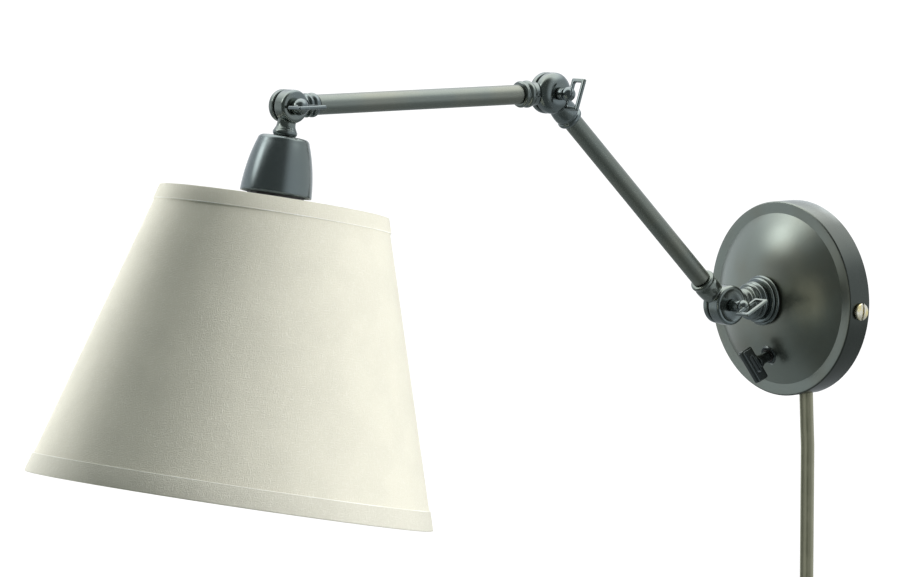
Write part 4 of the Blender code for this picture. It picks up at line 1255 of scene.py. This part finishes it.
class ClampKeys(bpy.types.Operator):
    """Makes the three clamp screws with their ball ends and wire-thin loops"""

    bl_idname = "walllamp.clamp_keys"
    bl_label = "Clamp keys"

    def key(self, name, joint, turn, stem_start, ball, loop_start, ball_size, sizes, colours):
        shank = [(0, -4.6), (1.7, -4.6), (2.0, -4.3), (2.0, stem_start)]
        neck = ((3.8, ball - 5), (3.4, ball - 4.6), (3.4, ball - 3.2))
        stem = [(3.7, stem_start)] + sweep((3.8, stem_start + 0.3), *neck, 6)
        screw = turned_on_x(shank + stem + arc((0, ball), ball_size, -50, 90, 20), 64)
        width, length, bar = 11.0, 19.5, 2.2
        loop = block((width, bar, length), (loop_start + width / 2, 0, 0))
        ease(loop, 0.75, 4)
        window = block((width - 2 * bar, 8, length - 2 * bar), (loop_start + width / 2, 0, 0))
        ease(window, 0.9, 4)
        cut(loop, window)
        unite(screw, loop)
        skin(screw, sizes, 3)
        turned_key = Matrix.Translation(joint) @ Matrix.Rotation(math.radians(turn), 4, "X")
        keep_casting(screw, turned_key, name + "_clamp_screw", name + "_clamp", name + "_key", colours)

    def execute(self, context):
        sizes, colours = context.scene.lamp_sizes, context.scene.lamp_colours
        self.key("wall", WALL_JOINT, -65, 9.9, 19.0, 20.4, 4.1, sizes, colours)
        self.key("elbow", ELBOW_JOINT, -20, 9.9, 16.7, 17.2, 4.3, sizes, colours)
        self.key("head", HEAD_JOINT, 90, 6.6, 9.8, 10.6, 4.9, sizes, colours)
        return {"FINISHED"}


# ---------------------------------------------------------------- head


class LampHead(bpy.types.Operator):
    """Makes the head's knuckle, the spun cup over the socket, and the bulb"""

    bl_idname = "walllamp.head"
    bl_label = "Head, cup and bulb"

    top, bottom, wall = 17.4, 50.0, 1.2

    def side(self, inset):
        shoulder = arc((11.7, self.top + 3.0), 3.0 - inset, -90, -15, 10)
        start, end = (14.7 - inset, 20.2), (20.2 - inset, self.bottom - 0.4)
        return shoulder + sweep(start, (17.0 - inset, 26), (19.8 - inset, 38), end, 30)[1:]

    def execute(self, context):
        sizes, colours = context.scene.lamp_sizes, context.scene.lamp_colours
        knuckle = casting(bun_cheek(9.4, 6.5, HEAD_PART), head_neck(), 1, 9.4, sizes, HEAD_PART)
        keep_casting(knuckle, HEAD, "head_casting", "head", "head_knuckle", colours)
        low, high = HEAD_PART - 0.4, HEAD_PART + 0.4
        washer = [(2.6, low), (7.3, low), (7.5, low + 0.2), (7.5, high - 0.2), (7.3, high), (2.6, high)]
        washer = place(turned_on_x(washer, 72), HEAD)
        keep(washer, "joint_washer", "head", pressed_fibre(colours), ["head_washer"])
        lip = [(20.0, self.bottom), (19.2, self.bottom)]
        inside = self.side(self.wall)[::-1] + [(5.2, self.top + self.wall)]
        cup = place(turned([(5.2, self.top)] + self.side(0) + lip + inside, 128), HEAD)
        keep(cup, "spun_cup", "head", gunmetal(colours, "cup"), ["socket_cup"], 35)
        self.bulb(colours)
        return {"FINISHED"}

    def bulb(self, colours):
        def envelope(inset):
            side = sweep((11.6 - inset, 68), (12.4 - inset, 84), (30 - inset, 92), (30 - inset, 116), 24)
            return [(11.6 - inset, 60)] + side + arc((0, 116), 30 - inset, 0, 90, 20)[1:]

        outside, inside = envelope(0), envelope(0.8)
        outline = [(0, 145.2)] + inside[:-1][::-1] + outside[:-1] + [(0, 146.0)]
        glass = place(turned(outline, 96), HEAD)
        keep(glass, "bulb_envelope", "head", opal_glass(colours), ["bulb_glass"], 40)


class Shade(bpy.types.Operator):
    """Makes the shade: linen on a lining, folded and stitched bands, wire rings, spider and ring nut"""

    bl_idname = "walllamp.shade"
    bl_label = "Shade"

    columns = 180
    cloth_thickness = 0.45
    lining_thickness = 0.45
    folded_cloth, fold_gap, turn_in = 0.55, 0.25, 4.0
    stitch_radius, stitch_sunk = 0.34, 0.3
    wire = 1.2
    wire_inset = 2.7

    def execute(self, context):
        sizes, colours = context.scene.lamp_sizes, context.scene.lamp_colours
        self.top, self.top_radius = sizes.shade_top / MM, sizes.shade_top_radius / MM
        self.flare = (sizes.shade_bottom_radius - sizes.shade_top_radius) / MM
        self.slant = sizes.shade_slant / MM
        self.drop = math.sqrt(self.slant**2 - self.flare**2)
        self.slope = self.flare / self.drop
        self.bottom = self.top + self.drop
        fabric = linen(colours, sizes)
        cloth = self.frustum([(0, self.top + 0.3), (0, self.bottom - 0.3)], self.cloth_thickness)
        keep(cloth, "shade_cloth", "head", fabric, ["shade_cone"], 30)
        self.map_cloth(cloth)
        inset = -self.cloth_thickness - 0.06
        lining = self.frustum([(inset, self.top + 0.2), (inset, self.bottom - 0.2)], self.lining_thickness)
        styrene = moulded("styrene", colours.lining, 0.4, cloud=1.02)
        keep(lining, "shade_lining", "head", styrene, [], 30)
        proud = sizes.fold_proud / MM
        upper = self.fold(self.top, sizes.top_fold / MM, 1, proud, 0.35)
        keep(upper, "shade_top_fold", "head", fabric, ["shade_top_band"], 50)
        self.map_cloth(upper)
        lower = self.fold(self.bottom, sizes.bottom_fold / MM, -1, proud, 0.9)
        # Painted shade: the bottom band's linen is darker and cooler than the body's.
        shaded_linen = linen(colours, sizes, "linen_fold_painted_shade", 0.89)
        keep(lower, "shade_bottom_fold", "head", shaded_linen, ["shade_bottom_band"], 50)
        self.map_cloth(lower)
        thread = moulded("linen_thread", deeper(colours.linen_slub, 0.94), 0.8, 700.0, 0.5)
        seams = {
            "top_stitching": self.top + sizes.top_fold / MM,
            "bottom_stitching": self.bottom - sizes.bottom_fold / MM,
        }
        for seam, edge in seams.items():
            middle = (self.radius(edge) + proud - self.stitch_sunk, edge)
            stitching = place(turned(arc(middle, self.stitch_radius, 0, 324, 10), 360), HEAD)
            keep(stitching, seam, "head", thread, [], 80)
        self.wires(colours)
        return {"FINISHED"}

    def radius(self, height):
        return self.top_radius + (height - self.top) * self.slope

    def frustum(self, ends, thickness, rows=14):
        """A tapered wall that follows the shade, at an offset from its outer face."""
        points = []
        for i in range(rows + 1):
            share = i / rows
            height = ends[0][1] + (ends[1][1] - ends[0][1]) * share
            points.append((self.radius(height) + ends[0][0], height))
        inside = [(r - thickness, h) for r, h in points[::-1]]
        return place(turned(points + inside, self.columns), HEAD)

    def fold(self, rim, width, inward, proud, roll):
        """A band of cloth folded over a rim: a rounded outer edge, round the rim, and a short turn-in."""
        cloth, middle = self.folded_cloth, width * 0.5
        back = -(self.cloth_thickness + self.lining_thickness + self.fold_gap)
        cap, centre = (proud - back + cloth) / 2, (proud + back - cloth) / 2
        outline = arc((proud - cloth / 2, width), cloth / 2, 90, 0, 5) + [(proud, middle)]
        outline += [(centre + x * cap, y * roll) for x, y in arc((0, 0), 1.0, 0, -180, 13)]
        outline += [(back - cloth, self.turn_in), (back, self.turn_in)]
        outline += [(centre + x * (cap - cloth), y * 0.12 + 0.18) for x, y in arc((0, 0), 1.0, -180, 0, 13)]
        outline += [(proud - cloth, middle), (proud - cloth, width)]
        points = [(self.radius(rim + inward * h) + r, rim + inward * h) for r, h in outline]
        return place(turned(points, self.columns), HEAD)

    def map_cloth(self, obj):
        """The cloth's own map: each point's place on the flat cut, in metres."""
        layer = obj.data.uv_layers.new(name="cut")
        share = math.sin(math.atan(self.slope))
        back = HEAD.inverted()
        for face in obj.data.polygons:
            spots = [back @ obj.data.vertices[obj.data.loops[i].vertex_index].co for i in face.loop_indices]
            angles = [math.atan2(spot.y, spot.x) for spot in spots]
            if max(angles) - min(angles) > math.pi:
                angles = [a + math.tau if a < 0 else a for a in angles]
            for i, spot, angle in zip(face.loop_indices, spots, angles):
                reach = Vector((spot.x, spot.y)).length / share
                layer.data[i].uv = (reach * math.sin(angle * share), reach * math.cos(angle * share))

    def wire_ring(self, height):
        inset = self.radius(height) - self.wire_inset
        return turned(arc((inset, height), self.wire, 0, 345, 24), 144)

    def wires(self, colours):
        """The two wire rings, the spider's three arms and its ring, and the nut that holds it."""
        pale = colours.lining
        enamel = metal("white_enamel", colours.white_wire, pale, pale, 0.4, (0.6, 0.8), 0.1, 80.0, 0.05)
        ring = place(self.wire_ring(self.bottom - 2.2), HEAD)
        keep(ring, "shade_rim_wire", "head", enamel, ["shade_bottom_wire"], 60)
        high = self.top + 2.2
        spider = self.wire_ring(high)
        bore, outer, low, top = 16.7, 20.3, 57.6, 58.9
        edge = [(outer, low), (outer + 0.3, low + 0.3), (outer + 0.3, top - 0.3), (outer, top)]
        arms = [turned([(bore, low)] + edge + [(bore, top)], 96)]
        start = Vector((19.0, 0, low + 0.3))
        run = Vector((self.radius(high) - self.wire_inset, 0, high)) - start
        for angle in (30, 150, 270):
            arm = place(rod(self.wire, 0, run.length, 20), ON_X)
            slant = Matrix.Rotation(-math.atan2(run.z, run.x), 4, "Y")
            place(arm, Matrix.Rotation(math.radians(angle), 4, "Z") @ Matrix.Translation(start * MM) @ slant)
            arms.append(arm)
        place(unite(spider, *arms), HEAD)
        keep(spider, "shade_spider_wires", "head", enamel, ["shade_spider"], 45)
        rim = [(20.2, 59.3), (20.8, 59.9), (20.8, 63.0), (20.2, 63.6)]
        nut = notched(turned([(16.6, 59.3)] + rim + [(16.6, 63.6)], 96), 16, 21.2, 0.8, 58, 65)
        black = black_phenolic(colours)
        keep(place(nut, HEAD), "shade_fitter_nut", "head", black, ["shade_ring_nut"], 35)


class InnerPieces(bpy.types.Operator):
    """Gives the pieces inside the plate, the arms and the cup their finishes"""

    bl_idname = "walllamp.inner_pieces"
    bl_label = "Inner pieces"

    def execute(self, context):
        colours = context.scene.lamp_colours
        zinc = plated("zinc_plate", colours.zinc, deeper(colours.zinc, 0.85), 0.36)
        joint = moulded("wire_joint_plastic", colours.wire_joint, 0.4)
        sleeve = moulded("lead_sleeve", colours.lead, 0.45)
        finishes = {
            zinc: ("mounting_strap", "cup_nut", "bulb_cap"),
            bright_brass(colours): ("swivel_spindle", "spindle_nut", "socket_shell", "socket_contact"),
            pressed_fibre(colours): ("friction_washer", "wall_joint_washer", "elbow_washer"),
            black_phenolic(colours): ("switch_body", "cord_bushing", "socket_body"),
            joint: ("wire_joint_right", "wire_joint_left"),
            sleeve: ("neutral_lead", "switched_lead", "lower_arm_lead", "upper_arm_lead"),
        }
        for material, nodes in finishes.items():
            for name in nodes:
                node = frame["nodes"][name]
                node.data.materials.clear()
                node.data.materials.append(material)
        return {"FINISHED"}


# ---------------------------------------------------------------- add-on


class LampPanel(bpy.types.Panel):
    """Sizes, colours and building steps of the wall lamp"""

    bl_label = "Wall Lamp"
    bl_idname = "VIEW3D_PT_wall_lamp"
    bl_space_type = "VIEW_3D"
    bl_region_type = "UI"
    bl_category = "Wall Lamp"

    def draw(self, context):
        column = self.layout.column(align=True)
        for builder in BUILDERS:
            column.operator(builder.bl_idname)
        for settings in (context.scene.lamp_sizes, context.scene.lamp_colours):
            box = self.layout.box()
            for name in settings.__annotations__:
                box.prop(settings, name)


BUILDERS = (
    StageBuilder,
    MainsLead,
    WallPlate,
    Swivel,
    Switch,
    LowerArm,
    UpperArm,
    ClampKeys,
    LampHead,
    Shade,
    InnerPieces,
)
CLASSES = (LampSizes, LampColours, *BUILDERS, LampPanel)


def register():
    for cls in CLASSES:
        bpy.utils.register_class(cls)
    bpy.types.Scene.lamp_sizes = bpy.props.PointerProperty(type=LampSizes)
    bpy.types.Scene.lamp_colours = bpy.props.PointerProperty(type=LampColours)


def unregister():
    del bpy.types.Scene.lamp_colours
    del bpy.types.Scene.lamp_sizes
    for cls in reversed(CLASSES):
        bpy.utils.unregister_class(cls)


def main():
    register()
    bpy.ops.walllamp.stage()
    bpy.ops.walllamp.mains_lead()
    bpy.ops.walllamp.wall_plate()
    bpy.ops.walllamp.swivel()
    bpy.ops.walllamp.switch()
    bpy.ops.walllamp.lower_arm()
    bpy.ops.walllamp.upper_arm()
    bpy.ops.walllamp.clamp_keys()
    bpy.ops.walllamp.head()
    bpy.ops.walllamp.shade()
    bpy.ops.walllamp.inner_pieces()


if __name__ == "__main__":
    main()
